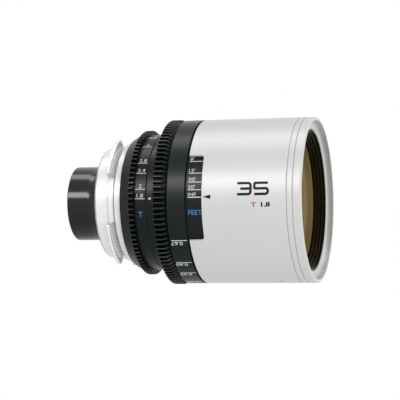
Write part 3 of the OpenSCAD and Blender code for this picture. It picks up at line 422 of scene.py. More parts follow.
# %% [markdown]
# ## Glass
# The front element has an amber coating. Seen from the front it lets the dark barrel show, and
# seen at a slant it glows amber all over. A tinted mirror alone would only show the ring next
# to it, so a sheen in the coating's tint is laid over the glass: it grows towards the slant, as
# the coating's colour does. The coating keeps white light from mirroring at a slant, so the
# glass has a low index of refraction, and a thin coat mirrors the lamps only where the glass
# faces the eye. The inner elements are plain.

# %% Glass materials
GLASS_RINGS = 30
GLASS_GRAIN = 200
GLASS_DARK = 0.96
COAT_FULL = 0.2
COAT_GONE = 0.45


def glass_finish(name, color, tint, ior, rough, sheen=0.0):
    """Polished glass with a tinted coating, and with a sheen in that tint."""
    mat, tree, shader = new_material(name)
    dark = [c * GLASS_DARK for c in color]
    skin = turned_skin(tree, shader, dark, color, rough, GLASS_RINGS, GLASS_GRAIN)
    link(tree, skin.outputs["Color"], shader.inputs["Base Color"])
    shader.inputs["Transmission Weight"].default_value = 1.0
    shader.inputs["IOR"].default_value = ior
    shader.inputs["Specular Tint"].default_value = (*tint, 1)
    shader.inputs["Sheen Weight"].default_value = sheen
    shader.inputs["Sheen Roughness"].default_value = 0.4
    shader.inputs["Sheen Tint"].default_value = (*tint, 1)
    facing = tree.nodes.new("ShaderNodeLayerWeight")
    mask = tree.nodes.new("ShaderNodeMapRange")
    mask.inputs["From Min"].default_value = COAT_FULL
    mask.inputs["From Max"].default_value = COAT_GONE
    mask.inputs["To Min"].default_value = 1.0
    mask.inputs["To Max"].default_value = 0.0
    link(tree, facing.outputs["Facing"], mask.inputs["Value"])
    link(tree, mask.outputs["Result"], shader.inputs["Coat Weight"])
    shader.inputs["Coat Roughness"].default_value = 0.02
    shader.inputs["Coat IOR"].default_value = 1.35
    shader.inputs["Coat Tint"].default_value = (*tint, 1)
    return mat


amber = glass_finish("amber_coated_glass", (0.55, 0.43, 0.23), (1.0, 0.70, 0.27), 1.04, (0.0, 0.02),
                     sheen=0.45)
clear = glass_finish("optical_glass", (0.95, 0.97, 0.97), (0.8, 0.9, 1.0), 1.2, (0.0, 0.02))
print("glass", amber.name, clear.name)

# %% [markdown]
# ## Turned pieces
# A lathe cuts a profile while the work spins, so the natural way in Blender is the same: draw the profile as
# distance along the axis and radius, round its corners, and spin it. A Screw modifier would do, but mesh code
# can also mark the rounded corners in an attribute, which the group for edge wear and painted edge light
# reads.

# %% Profile helper
ARC = 4
GUARD = 0.1
GUARD_SHARE = 0.015
ROUND_SHARE = 0.48
MARKED_BELOW = 1.0


def rounded(corners):
    """Points (x, r, edge) of a profile whose corners are (x, r, round).

    A point close before and after each round keeps the long faces beside it flat in their shading.
    Rounds from a set size up are not marked as edges, so they take neither wear nor painted edge light.
    """
    points = []
    for k, (x, r, rounding) in enumerate(corners):
        here = Vector((x, r))
        before = Vector(corners[k - 1][:2]) - here
        after = Vector(corners[(k + 1) % len(corners)][:2]) - here
        if rounding <= 0:
            points.append((x, r, 0.0))
            continue
        a, b = before.normalized(), after.normalized()
        half = a.angle(b) / 2
        reach = min(rounding / math.tan(half), ROUND_SHARE * before.length, ROUND_SHARE * after.length)
        size = reach * math.tan(half)
        centre = here + (a + b).normalized() * (size / math.sin(half))
        first, last = here + a * reach - centre, here + b * reach - centre
        sweep = first.angle_signed(last)
        points.append((*(here + a * (reach + min(GUARD, GUARD_SHARE * before.length))), 0.0))
        for i in range(ARC + 1):
            turn = -sweep * i / ARC
            c, s = math.cos(turn), math.sin(turn)
            p = centre + Vector((first.x * c - first.y * s, first.x * s + first.y * c))
            points.append((p.x, p.y, 1.0 if rounding < MARKED_BELOW else 0.0))
        points.append((*(here + b * (reach + min(GUARD, GUARD_SHARE * after.length))), 0.0))
    return points


print("a round has", ARC, "faces")

# %% Mesh helpers
SHARP = 30
MERGE = 1e-8


def on_axis(x, r, clock):
    """A point at x millimetres, r millimetres from the axis, at a clock angle above the -Y side."""
    return Vector((x, -r * math.cos(clock), r * math.sin(clock))) * MM


def marked_mesh():
    """A new mesh and its layer of edge marks."""
    bm = bmesh.new()
    return bm, bm.verts.layers.float.new("edge")


def marked_row(bm, layer, points):
    """New mesh points from (x, r, clock angle, edge mark)."""
    row = []
    for x, r, clock, mark in points:
        v = bm.verts.new(on_axis(x, r, clock))
        v[layer] = mark
        row.append(v)
    return row


def walled(bm, rows):
    """Makes a solid of rows of points: a wall between each row and the next, and a cap on both ends."""
    count = len(rows[0])
    for a, b in zip(rows, rows[1:]):
        for j in range(count):
            bm.faces.new((a[j], a[(j + 1) % count], b[(j + 1) % count], b[j]))
    bm.faces.new(rows[0])
    bm.faces.new(rows[-1])


def new_piece(name, bm, material, sharp=SHARP):
    """A smoothly shaded object of a finished mesh, with hard edges above an angle in degrees."""
    bmesh.ops.recalc_face_normals(bm, faces=bm.faces)
    mesh = bpy.data.meshes.new(name)
    bm.to_mesh(mesh)
    bm.free()
    mesh.materials.append(material)
    mesh.polygons.foreach_set("use_smooth", [True] * len(mesh.polygons))
    mesh.set_sharp_from_angle(angle=math.radians(sharp))
    obj = bpy.data.objects.new(name, mesh)
    scene.collection.objects.link(obj)
    return obj


print("edges are hard above", SHARP, "degrees")

# %% Lathe helpers
TURNS = 256


def spin(columns, closed=True):
    """A mesh from one list of (x, r, edge) points for each (clock angle, points) column."""
    bm, layer = marked_mesh()
    rows = []
    for clock, points in columns:
        rows.append(marked_row(bm, layer, [(x, r, clock, mark) for x, r, mark in points]))
    count = len(rows[0])
    for i, row in enumerate(rows):
        other = rows[(i + 1) % len(rows)]
        for j in range(count if closed else count - 1):
            k = (j + 1) % count
            bm.faces.new((row[j], row[k], other[k], other[j]))
    if not closed:
        bmesh.ops.remove_doubles(bm, verts=bm.verts, dist=MERGE)
        bmesh.ops.dissolve_degenerate(bm, edges=bm.edges, dist=MERGE)
    return bm


def lathe(name, corners, material, turns=TURNS, closed=True):
    """A turned piece. A closed profile has rounded corners, an open one runs from axis to axis."""
    points = rounded(corners) if closed else [(x, r, 0.0) for x, r in corners]
    bm = spin([(2 * math.pi * i / turns, points) for i in range(turns)], closed)
    return new_piece(name, bm, material)


def span(node):
    """First x, last x and outer radius of a turned node of the model, in millimetres."""
    low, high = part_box(node)
    return low[0] / MM, high[0] / MM, high[2] / MM


def refinish(piece, material, x0, x1, r0, r1):
    """Gives another finish to the faces whose middles lie between x0 and x1 and between two radii."""
    piece.data.materials.append(material)
    for face in piece.data.polygons:
        spot = face.center / MM
        if x0 <= spot.x <= x1 and r0 <= math.hypot(spot.y, spot.z) <= r1:
            face.material_index = len(piece.data.materials) - 1


def place(piece, body, slot, *nodes):
    """Lets a piece ride on a body and hides the nodes that it stands for. The slot is not used."""
    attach(piece, body)
    if nodes:
        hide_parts(*nodes)
    print(piece.name, len(piece.data.polygons), "faces on", body)
    return piece


print("lathe of", TURNS, "columns")

# %% [markdown]
# ## Repeats around the axis
# Gear teeth, wings and screws are one shape repeated round the axis. An Array modifier with
# an offset object would need a helper object. A Geometry Nodes tree only needs a count and an
# angle, and the same tree serves every ring. The export drops instances, so every tree ends by
# making its copies real.

# %% Tree helpers


def new_tree(name, sizes):
    """A Geometry Nodes tree whose inputs are a shape, sizes (title, kind) and a material."""
    tree = bpy.data.node_groups.new(name, "GeometryNodeTree")
    for title, kind in [("Geometry", "NodeSocketGeometry"), *sizes, ("Material", "NodeSocketMaterial")]:
        tree.interface.new_socket(title, in_out="INPUT", socket_type=kind)
    tree.interface.new_socket("Geometry", in_out="OUTPUT", socket_type="NodeSocketGeometry")
    return tree, tree.nodes.new("NodeGroupInput")


def end_tree(tree, gin, shape):
    """Ends a tree with real copies and their material."""
    real = tree.nodes.new("GeometryNodeRealizeInstances")
    dressed = tree.nodes.new("GeometryNodeSetMaterial")
    gout = tree.nodes.new("NodeGroupOutput")
    link(tree, shape, real.inputs[0])
    link(tree, real.outputs[0], dressed.inputs["Geometry"])
    link(tree, gin.outputs["Material"], dressed.inputs["Material"])
    link(tree, dressed.outputs[0], gout.inputs[0])
    return tree


def settled(obj):
    """The plain mesh that an object's curve or modifiers make."""
    return bpy.data.meshes.new_from_object(obj.evaluated_get(bpy.context.evaluated_depsgraph_get()))


def run_tree(obj, tree, values, material):
    """Runs a Geometry Nodes tree on an object and keeps the result as its plain mesh."""
    modifier = obj.modifiers.new("tree", "NODES")
    modifier.node_group = tree
    names = {i.name: i.identifier for i in tree.interface.items_tree if i.in_out == "INPUT"}
    for title, value in values.items():
        modifier[names[title]] = value
    modifier[names["Material"]] = material
    mesh = settled(obj)
    obj.modifiers.remove(modifier)
    obj.data = mesh
    mesh.name = obj.name
    return obj


print("trees end in real copies")

# %% Tree that repeats a shape around the optical axis


def repeat_tree():
    tree, gin = new_tree("repeat around the axis", [
        ("Count", "NodeSocketInt"), ("First angle", "NodeSocketFloat"), ("Step angle", "NodeSocketFloat")])
    spots = tree.nodes.new("GeometryNodeMeshLine")
    spots.inputs["Offset"].default_value = (0, 0, 0)
    index = tree.nodes.new("GeometryNodeInputIndex")
    angle = math_node(tree, "MULTIPLY_ADD", index.outputs[0], gin.outputs["Step angle"],
                      gin.outputs["First angle"])
    turn = tree.nodes.new("ShaderNodeCombineXYZ")
    copies = tree.nodes.new("GeometryNodeInstanceOnPoints")
    link(tree, gin.outputs["Count"], spots.inputs["Count"])
    link(tree, angle, turn.inputs[0])
    link(tree, spots.outputs["Mesh"], copies.inputs["Points"])
    link(tree, gin.outputs["Geometry"], copies.inputs["Instance"])
    link(tree, turn.outputs[0], copies.inputs["Rotation"])
    return end_tree(tree, gin, copies.outputs[0])


around = repeat_tree()


def repeat(obj, count, first_clock, material):
    """Copies at count clock angles. A clock angle above -Y is a negative turn about X."""
    step = 2 * math.pi / count
    values = {"Count": count, "First angle": -first_clock, "Step angle": -step}
    return run_tree(obj, around, values, material)


print("tree", around.name, len(around.nodes), "nodes")

# %% [markdown]
# ## Front barrel
# The silver front barrel is one turned tube. Its rear skirt has a notch, the scale window,
# with round inner corners, and two fine grooves run round it near the lip. A Boolean could
# cut the window, but it leaves long faces that shade badly. Here the tube is spun from
# columns, and each column starts where the window's outline is at its clock angle.

# %% Profile of the front barrel
SKIRT_X, FRONT_X, BARREL_R = span("front_barrel")
SKIRT_R = BARREL_R - 1.1
GROOVES = (FRONT_X - 7.0, FRONT_X - 4.2)
GROOVE_W = 0.5
GROOVE_SLOPE = 0.1
GROOVE_DEPTH = 0.3
THREAD_ROOT_R = 38.5
THREAD_X = FRONT_X - 2.8
CELL_R = 34.32
CELL_X = 76.9
FLANGE_R = 37.02
FLANGE_X = 51.25
EXTRA_RINGS = (52.0, 70.0, 80.0, 83.4)


def barrel_profile(edge_x):
    """The profile where the rear edge is at edge_x."""
    corners = [(edge_x, SKIRT_R, 0.12), (edge_x, BARREL_R, 0.25)]
    corners += [(x, BARREL_R, 0) for x in EXTRA_RINGS]
    floor_r = BARREL_R - GROOVE_DEPTH
    for x in GROOVES:
        a, b = x - GROOVE_W / 2, x + GROOVE_W / 2
        corners += [(a, BARREL_R, 0.2), (a + GROOVE_SLOPE, floor_r, 0.05), (b - GROOVE_SLOPE, floor_r, 0.05),
                    (b, BARREL_R, 0.2)]
    corners += [(FRONT_X, BARREL_R, 1.5), (FRONT_X, THREAD_ROOT_R, 0.1), (THREAD_X, THREAD_ROOT_R, 0.1),
                (THREAD_X, CELL_R, 0.15), (CELL_X, CELL_R, 0), (CELL_X, FLANGE_R, 0),
                (FLANGE_X, FLANGE_R, 0), (FLANGE_X, SKIRT_R, 0)]
    return rounded(corners)


print("profile of", len(barrel_profile(SKIRT_X)), "points")

# %% Front barrel with its window
WINDOW_X = SKIRT_X + 7.3
WINDOW_HALF = math.radians(30)
WINDOW_CORNER = 1.5
CORNER_STEPS = 12
SILL_STEPS = 40
SKIRT_STEPS = 220
WALL_TURN = 0.0025


def window_columns():
    """Clock angles and rear edges of the barrel, close together round the window's corners."""
    corner = WINDOW_CORNER / BARREL_R
    wall = WINDOW_HALF + WALL_TURN
    side = [(wall, SKIRT_X)]
    for i in range(CORNER_STEPS + 1):
        a = math.pi / 2 * i / CORNER_STEPS
        side.append((WINDOW_HALF - corner * (1 - math.cos(a)), WINDOW_X - WINDOW_CORNER * (1 - math.sin(a))))
    inner = WINDOW_HALF - corner
    sill = [(inner * (1 - 2 * i / SILL_STEPS), WINDOW_X) for i in range(1, SILL_STEPS)]
    left = [(-c, x) for c, x in reversed(side)]
    far = 2 * math.pi - 2 * wall
    rest = [(-wall - far * i / SKIRT_STEPS, SKIRT_X) for i in range(1, SKIRT_STEPS)]
    return side + sill + left + rest


columns = [(clock, barrel_profile(x)) for clock, x in window_columns()]
barrel = new_piece("front_barrel_shell", spin(columns), silver)
print("barrel box", [round(v / MM, 2) for v in barrel.dimensions])

# %% [markdown]
# Two grub screws hold the front cell in the barrel. Their holes are drilled, so a Boolean with
# two rods is the plain way, and the barrel has extra rings on both sides of the holes to keep
# the cut faces short.

# %% Grub screw holes
GRUB_X = FRONT_X - 16.0
GRUB_HOLE_R = 0.92
GRUB_HOLE_DEPTH = 4
GRUB_COUNT = 2
GRUB_CLOCK = math.radians(-78)
BIT_SIDES = 32
BIT_CLEAR = 2


def rod(name, x, r0, r1, size, material):
    """A rod of radius size that points outwards at clock angle 0."""
    bm = bmesh.new()
    place_at = Matrix.Translation(on_axis(x, (r0 + r1) / 2, 0)) @ Matrix.Rotation(math.pi / 2, 4, "X")
    bmesh.ops.create_cone(bm, cap_ends=True, segments=BIT_SIDES, radius1=size * MM, radius2=size * MM,
                          depth=(r1 - r0) * MM, matrix=place_at)
    return new_piece(name, bm, material)


def drilled(piece, x, r, depth, size, count, first_clock):
    """Drills radial holes of radius size into a piece whose outer radius is r."""
    own = piece.data.materials[0]
    bits = repeat(rod("bits", x, r - depth, r + BIT_CLEAR, size, own), count, first_clock, own)
    cut = piece.modifiers.new("holes", "BOOLEAN")
    cut.operation = "DIFFERENCE"
    cut.object = bits
    cut.solver = "EXACT"
    mesh = settled(piece)
    piece.modifiers.clear()
    piece.data = mesh
    mesh.name = piece.name
    mesh.set_sharp_from_angle(angle=math.radians(SHARP))
    bpy.data.objects.remove(bits)
    return piece


drilled(barrel, GRUB_X, BARREL_R, GRUB_HOLE_DEPTH, GRUB_HOLE_R, GRUB_COUNT, GRUB_CLOCK)
refinish(barrel, rim_metal, THREAD_X + 0.01, FRONT_X, 0.0, THREAD_ROOT_R + 0.3)
# The two grooves take the painted shade.
refinish(barrel, silver_groove_painted_shade, GROOVES[0] - GROOVE_W, GROOVES[1] + GROOVE_W, BARREL_R - 1, BARREL_R - 0.08)
place(barrel, "lens_body", "silver_anodised", "front_barrel")

# %% [markdown]
# ## Filter thread
# The rim holds a fine female thread. It is a ridge that follows a helix, so a Geometry Nodes
# tree sweeps a small diamond along a spiral curve. Half of the diamond is sunk in the wall.

# %% Thread ridge tree
THREAD_PITCH = 0.75
THREAD_TURNS = 3.0
THREAD_LEAD = 0.3
THREAD_RIDGE = 0.13


def thread_tree():
    titles = ("Radius", "Pitch", "Turns", "Start", "Ridge")
    tree, gin = new_tree("thread ridge", [(title, "NodeSocketFloat") for title in titles])
    helix = tree.nodes.new("GeometryNodeCurveSpiral")
    helix.inputs["Resolution"].default_value = 128
    link(tree, gin.outputs["Turns"], helix.inputs["Rotations"])
    link(tree, gin.outputs["Radius"], helix.inputs["Start Radius"])
    link(tree, gin.outputs["Radius"], helix.inputs["End Radius"])
    link(tree, times(tree, gin.outputs["Pitch"], gin.outputs["Turns"]), helix.inputs["Height"])
    section = tree.nodes.new("GeometryNodeCurvePrimitiveCircle")
    section.inputs["Resolution"].default_value = 4
    link(tree, gin.outputs["Ridge"], section.inputs["Radius"])
    sweep = tree.nodes.new("GeometryNodeCurveToMesh")
    sweep.inputs["Fill Caps"].default_value = True
    link(tree, helix.outputs[0], sweep.inputs["Curve"])
    link(tree, section.outputs["Curve"], sweep.inputs["Profile Curve"])
    turn = tree.nodes.new("GeometryNodeTransform")
    turn.inputs["Rotation"].default_value = (0, math.pi / 2, 0)
    offset = tree.nodes.new("ShaderNodeCombineXYZ")
    link(tree, gin.outputs["Start"], offset.inputs[0])
    link(tree, offset.outputs[0], turn.inputs["Translation"])
    link(tree, sweep.outputs[0], turn.inputs["Geometry"])
    return end_tree(tree, gin, turn.outputs[0])


thread = new_piece("filter_thread_ridge", bmesh.new(), rim_metal)
run_tree(thread, thread_tree(), {
    "Radius": THREAD_ROOT_R * MM, "Pitch": THREAD_PITCH * MM, "Turns": THREAD_TURNS,
    "Start": (THREAD_X + THREAD_LEAD) * MM, "Ridge": THREAD_RIDGE * MM}, rim_metal)
place(thread, "lens_body", "silver_anodised")

# %% [markdown]
# ## Front glass and its baffle
# In front of the glass sits a black ring whose wall climbs in small steps, so that no light
# glances off it into the lens. The glass is ground, so its faces are parts of spheres: the
# profile is worked out from how far each face bulges.

# %% Stepped baffle ring
GLASS_X = 88.9
STEP_END = 94.7
STEP_IN_R = 31.0
STEP_OUT_R = 33.4
STEPS = 4
LIP_R = 31.98
LIP_H = 0.22
BAFFLE_R = 34.28

corners = [(GLASS_X, LIP_R, 0)]
for k in range(STEPS):
    r = STEP_IN_R + (STEP_OUT_R - STEP_IN_R) * k / (STEPS - 1)
    x0 = GLASS_X + (STEP_END - GLASS_X) * k / STEPS
    x1 = GLASS_X + (STEP_END - GLASS_X) * (k + 1) / STEPS
    corners += [(x0, r, 0.05), (x1, r, 0.2)]
corners += [(STEP_END, BAFFLE_R, 0.1), (GLASS_X + LIP_H, BAFFLE_R, 0), (GLASS_X + LIP_H, LIP_R, 0)]
place(lathe("stepped_baffle", corners, matt_black), "lens_body", "black_anodised", "front_stepped_ring")

# %% Front element
GLASS_R = 32.0
GLASS_EDGE = 7.0
GLASS_TURNS = 192
CLEAR_R = 30.5
FACE_STEPS = 24
FRONT_BULGE = 2.1
REAR_BULGE = 7.0


def ground_face(x_rim, clear_r, bulge, count):
    """(x, r) points of a ground face from the axis to its rim."""
    ball = (clear_r ** 2 + bulge ** 2) / (2 * bulge)
    face = []
    for i in range(count + 1):
        r = clear_r * i / count
        face.append((x_rim + bulge - ball + math.copysign(math.sqrt(ball ** 2 - r ** 2), ball), r))
    return face


front_face = ground_face(GLASS_X, CLEAR_R, FRONT_BULGE, FACE_STEPS)
rear_face = ground_face(GLASS_X - GLASS_EDGE, CLEAR_R, REAR_BULGE, FACE_STEPS)
outline = front_face + [(GLASS_X, GLASS_R), (GLASS_X - GLASS_EDGE, GLASS_R)] + rear_face[::-1]
glass = lathe("front_glass", outline, amber, turns=GLASS_TURNS, closed=False)
place(glass, "lens_body", "amber_glass", "front_element")

# %% [markdown]
# ## Geared rings
# The focus and iris rings carry 0.8 module teeth for a follow focus. One tooth is a short bar
# with sloping flanks, a chamfered rear end and a front end that may slope down where the cutter
# left the ring. It is made once and repeated by the tree, and the ring under it is turned.

# %% Gear tooth
MODULE = 0.8
TOOTH_DEPTH = 2.25 * MODULE
TOOTH_END = MODULE / 6
TOOTH_FOOT = 0.06
TIP_EASE = 0.10
TIP_WEAR_AND_LIGHT = 0.2
TIP_BRIGHT = 0.3
END_HEIGHT = 0.02


def tip_radius(teeth):
    return MODULE * (teeth / 2 + 1)


def tooth(name, x0, x1, teeth, run_out, material):
    """One tooth at clock angle 0, from a little under the root to the tip, with a sloping front end."""
    tip = tip_radius(teeth)
    root = tip - TOOTH_DEPTH
    pitch = 2 * math.pi / teeth
    # Points (share of the pitch, radius) up one flank, then mirrored for the other.
    flank = [(-0.33, root - TOOTH_FOOT), (-0.32, root), (-0.245, tip - MODULE), (-0.15, tip - TIP_EASE),
             (-0.11, tip)]
    flank += [(-share, r) for share, r in reversed(flank)]
    ends = ((x0, TOOTH_END), (x0 + TOOTH_END, 0), (x1 - TOOTH_END, 0),
            (x1 + run_out, TOOTH_DEPTH - END_HEIGHT))
    bm, layer = marked_mesh()
    slices = []
    for x, lower in ends:
        points = []
        for share, r in flank:
            r = min(r, tip - lower)
            points.append((x, r, share * pitch, 1.0 if r > tip - TIP_WEAR_AND_LIGHT else 0.0))
        slices.append(marked_row(bm, layer, points))
    walled(bm, slices)
    return new_piece(name, bm, material)


def toothed(name, x0, x1, teeth, run_out, body):
    """A whole row of teeth, whose flanks take the same painted shade as the gaps between them."""
    piece = repeat(tooth(name, x0, x1, teeth, run_out, black), teeth, 0.0, black)
    refinish(piece, shaded_root_black, x0 + 0.01, x1 - TOOTH_END, 0.0, tip_radius(teeth) - TIP_BRIGHT)
    return place(piece, body, "black_anodised")


print("tooth pitch", round(math.pi * MODULE, 3), "mm")

# %% Focus ring
FOCUS_TEETH = 99
FOCUS_ROOT_R = tip_radius(FOCUS_TEETH) - TOOTH_DEPTH
FOCUS_R = 40.0
FOCUS_BORE_R = 35.02
FOCUS_X, FOCUS_END, _ = span("focus_ring")
FOCUS_GEAR_END = FOCUS_X + 4.3
FOCUS_BAND_X = FOCUS_GEAR_END + 2.8
FOCUS_RUN_OUT = 1.9
RUN_OUT_X = FOCUS_GEAR_END + FOCUS_RUN_OUT
GROOVE_R = FOCUS_R - 1.6

focus_ring = lathe("focus_ring_blank", [
    (FOCUS_X, FOCUS_BORE_R, 0.1), (FOCUS_X, FOCUS_ROOT_R, 0.1), (RUN_OUT_X, FOCUS_ROOT_R, 0),
    (RUN_OUT_X, GROOVE_R, 0.05), (FOCUS_BAND_X, GROOVE_R, 0.1), (FOCUS_BAND_X, FOCUS_R, 0.2),
    (FOCUS_END, FOCUS_R, 0.15), (FOCUS_END, FOCUS_BORE_R, 0.1)], black)
# The gear root and its run-out take the painted shade of the roots, the groove the painted shade of the
# recess.
refinish(focus_ring, shaded_root_black, FOCUS_X + 0.05, RUN_OUT_X, GROOVE_R - 1, FOCUS_ROOT_R + 0.1)
refinish(focus_ring, shaded_recess_black, RUN_OUT_X, FOCUS_BAND_X - 0.05, GROOVE_R - 1, GROOVE_R + 0.3)
place(focus_ring, "focus_drive", "black_anodised", "focus_ring")
toothed("focus_gear_teeth", FOCUS_X, FOCUS_GEAR_END, FOCUS_TEETH, FOCUS_RUN_OUT, "focus_drive")

# %% [markdown]
# The scale drum is the plain black tube that shows in the barrel's window. It turns with the
# focus ring, so it rides on the same body, and the distance scale is painted on it later.

# %% Scale drum
DRUM_X, DRUM_END, DRUM_R = span("focus_scale_drum")
drum = lathe("scale_drum", [
    (DRUM_X, FOCUS_BORE_R, 0), (DRUM_X, DRUM_R, 0.1), (DRUM_END, DRUM_R, 0.15), (DRUM_END, FOCUS_BORE_R, 0)],
    black)
place(drum, "focus_drive", "black_anodised", "focus_scale_drum")

# %% Iris ring
IRIS_TEETH = 87
IRIS_TIP_R = tip_radius(IRIS_TEETH)
IRIS_ROOT_R = IRIS_TIP_R - TOOTH_DEPTH
IRIS_R = 33.3
IRIS_REAR_R = 31.6
IRIS_BORE_R = 28.55
IRIS_X, IRIS_END, _ = span("iris_ring")
IRIS_GEAR_X = IRIS_X + 5.4
IRIS_BAND_X = IRIS_GEAR_X + 2.7

iris_ring = lathe("iris_ring_blank", [
    (IRIS_X, IRIS_BORE_R, 0.1), (IRIS_X, IRIS_REAR_R, 0.3), (IRIS_GEAR_X, IRIS_TIP_R - MODULE, 0.2),
    (IRIS_GEAR_X, IRIS_ROOT_R, 0), (IRIS_BAND_X, IRIS_ROOT_R, 0), (IRIS_BAND_X, IRIS_R, 0.05),
    (IRIS_END, IRIS_R, 0.35), (IRIS_END, IRIS_BORE_R, 0.1)], black)
# The gear root takes the painted shade of the roots.
refinish(iris_ring, shaded_root_black, IRIS_GEAR_X - 0.05, IRIS_BAND_X + 0.05, IRIS_R - 0.1, IRIS_ROOT_R + 0.05)
place(iris_ring, "iris_drive", "black_anodised", "iris_ring")
toothed("iris_gear_teeth", IRIS_GEAR_X, IRIS_BAND_X, IRIS_TEETH, 0.0, "iris_drive")

# %% [markdown]
# The index ring between the two gears stays still and carries the mark for the iris. Two grub
# screws hold it, so it is turned and then drilled like the barrel. A ring of points in its
# middle keeps the cut faces short.

# %% Index ring
INDEX_X, INDEX_END, INDEX_R = span("index_ring")
INDEX_MID = (INDEX_X + INDEX_END) / 2
INDEX_BORE_R = 28.52
INDEX_HOLE_R = 1.02
INDEX_HOLE_DEPTH = 3
INDEX_HOLES = 2
INDEX_HOLE_CLOCK = math.pi / 2

index_ring = lathe("index_ring_body", [
    (INDEX_X, INDEX_BORE_R, 0), (INDEX_X, INDEX_R, 0.35), (INDEX_MID, INDEX_R, 0), (INDEX_END, INDEX_R, 0.25),
    (INDEX_END, INDEX_BORE_R, 0)], black)
drilled(index_ring, INDEX_MID, INDEX_R, INDEX_HOLE_DEPTH, INDEX_HOLE_R, INDEX_HOLES, INDEX_HOLE_CLOCK)
place(index_ring, "lens_body", "black_anodised", "index_ring")

# %% [markdown]
# ## Mount
# The rear end is a steel bayonet: a pilot that enters the camera and four wings that the
# camera's ring clamps. The body is turned. A wing is a thick curved plate with bevelled ends,
# so it is made once as a swept section and repeated four times. The black rear tube widens in
# a hollow curve where it meets the pilot.

# %% Mount body
PILOT_R = 27.0
PILOT_X = -7.2
MOUNT_BORE_R = 18.85
HUB_R, HUB_END = 28.2, 2.9
NECK_R, NECK_END = 27.6, 3.6
COLLAR_R, COLLAR_END = 29.4, 7.0

mount = lathe("mount_plate", [
    (PILOT_X, MOUNT_BORE_R, 0.2), (PILOT_X, PILOT_R, 0.9), (0.0, PILOT_R, 0.1), (0.0, HUB_R, 0.25),
    (HUB_END, HUB_R, 0.2), (HUB_END, NECK_R, 0.1), (NECK_END, NECK_R, 0.1), (NECK_END, COLLAR_R, 0.3),
    (COLLAR_END, COLLAR_R, 0.3), (COLLAR_END, MOUNT_BORE_R, 0.1)], mount_steel)
place(mount, "lens_body", "mount_steel", "mount_flange")

# %% Mount wings
WINGS = 4
WING_CLOCK = math.radians(45)
WING_R = 33.2
WING_FOOT_R = 27.9
WING_FOOT_W = 2.85
WING_TIP_W = 2.0
WING_HALF = math.radians(23)
WING_STEPS = 24
WING_BEVEL = 0.3
WING_BEVEL_ABOVE = math.radians(60)


def wing(name, material):
    """One wing at clock angle 0: a section swept round the axis, with its ends marked for painted dark edge
    lines.
    """
    section = rounded([(0.0, WING_FOOT_R, 0), (0.0, WING_R, 0.5), (WING_TIP_W, WING_R, 0.35),
                       (WING_FOOT_W, WING_FOOT_R, 0)])
    bm, layer = marked_mesh()
    rows = []
    for i in range(WING_STEPS + 1):
        clock = (2 * i / WING_STEPS - 1) * WING_HALF
        end = 1.0 if i in (0, WING_STEPS) else 0.0
        rows.append(marked_row(bm, layer, [(x, r, clock, max(mark, end)) for x, r, mark in section]))
    walled(bm, rows)
    piece = new_piece(name, bm, material)
    soft = piece.modifiers.new("edges", "BEVEL")
    soft.width = WING_BEVEL * MM
    soft.segments = 2
    soft.limit_method = "ANGLE"
    soft.angle_limit = WING_BEVEL_ABOVE
    mesh = settled(piece)
    piece.modifiers.clear()
    piece.data = mesh
    return piece


wings = repeat(wing("mount_wings", wing_steel_painted_light), WINGS, WING_CLOCK, wing_steel_painted_light)
place(wings, "lens_body", "mount_steel")

# %% Rear barrel
REAR_R = 18.35
REAR_X = -24.4
REAR_BORE_R = 16.02
REAR_STOP_X, REAR_STOP_R = 8.0, 14.6
REAR_FLANGE_X, REAR_FLANGE_R = 10.3, 22.5
REAR_END = 11.5
FLARE_X = -14.6
FLARE_END = PILOT_X - 0.05
FLARE_RISE = 2.3
FLARE_POWER = 1.5
FLARE_POINTS = 12

flare = []
for i in range(FLARE_POINTS + 1):
    share = i / FLARE_POINTS
    flare.append((FLARE_X + (FLARE_END - FLARE_X) * share, REAR_R + FLARE_RISE * share ** FLARE_POWER, 0))
rear = lathe("rear_tube", [
    (REAR_END, REAR_STOP_R, 0), (REAR_STOP_X, REAR_STOP_R, 0), (REAR_STOP_X, REAR_BORE_R, 0),
    (REAR_X, REAR_BORE_R, 0.2), (REAR_X, REAR_R, 0.7), *flare, (FLARE_END, REAR_R, 0),
    (REAR_FLANGE_X, REAR_R, 0), (REAR_FLANGE_X, REAR_FLANGE_R, 0), (REAR_END, REAR_FLANGE_R, 0)], gloss_black)
place(rear, "lens_body", "black_anodised", "rear_barrel")

# %% [markdown]
# ## Screws
# A grub screw is a short headless rod with a hex socket in its end. The barrel's two show in
# their holes, so one is made with its socket and repeated by the tree.

# %% Grub screws
GRUB_R = 0.9
GRUB_FOOT_R = 34.4
GRUB_END_R = BARREL_R - 0.3
GRUB_CHAMFER = 0.1
GRUB_SIDES = 24
SOCKET_R = 0.55 * GRUB_R
SOCKET_DEPTH = 0.7


def hexagon(a):
    """How far a hexagon reaches at an angle, as a share of its corner radius."""
    return math.cos(math.pi / 6) / math.cos((a % (math.pi / 3)) - math.pi / 6)


def grub(name, x, r0, r1, material):
    """A grub screw from r0 to r1 with a six sided socket, pointing outwards at clock angle 0."""
    bm = bmesh.new()
    rings = [(GRUB_R, r0, False), (GRUB_R, r1 - GRUB_CHAMFER, False), (GRUB_R - GRUB_CHAMFER, r1, False),
             (SOCKET_R, r1, True), (SOCKET_R, r1 - SOCKET_DEPTH, True)]
    rows = []
    for wide, r, in_socket in rings:
        row = []
        for i in range(GRUB_SIDES):
            a = 2 * math.pi * i / GRUB_SIDES
            out = wide * (hexagon(a) if in_socket else 1.0) * MM
            row.append(bm.verts.new((x * MM + out * math.cos(a), -r * MM, out * math.sin(a))))
        rows.append(row)
    walled(bm, rows)
    return new_piece(name, bm, material)


barrel_grubs = repeat(grub("barrel_grub_screws", GRUB_X, GRUB_FOOT_R, GRUB_END_R, screw_steel), GRUB_COUNT,
                      GRUB_CLOCK, screw_steel)
place(barrel_grubs, "lens_body", "screw_steel", "front_barrel_grub_screws")

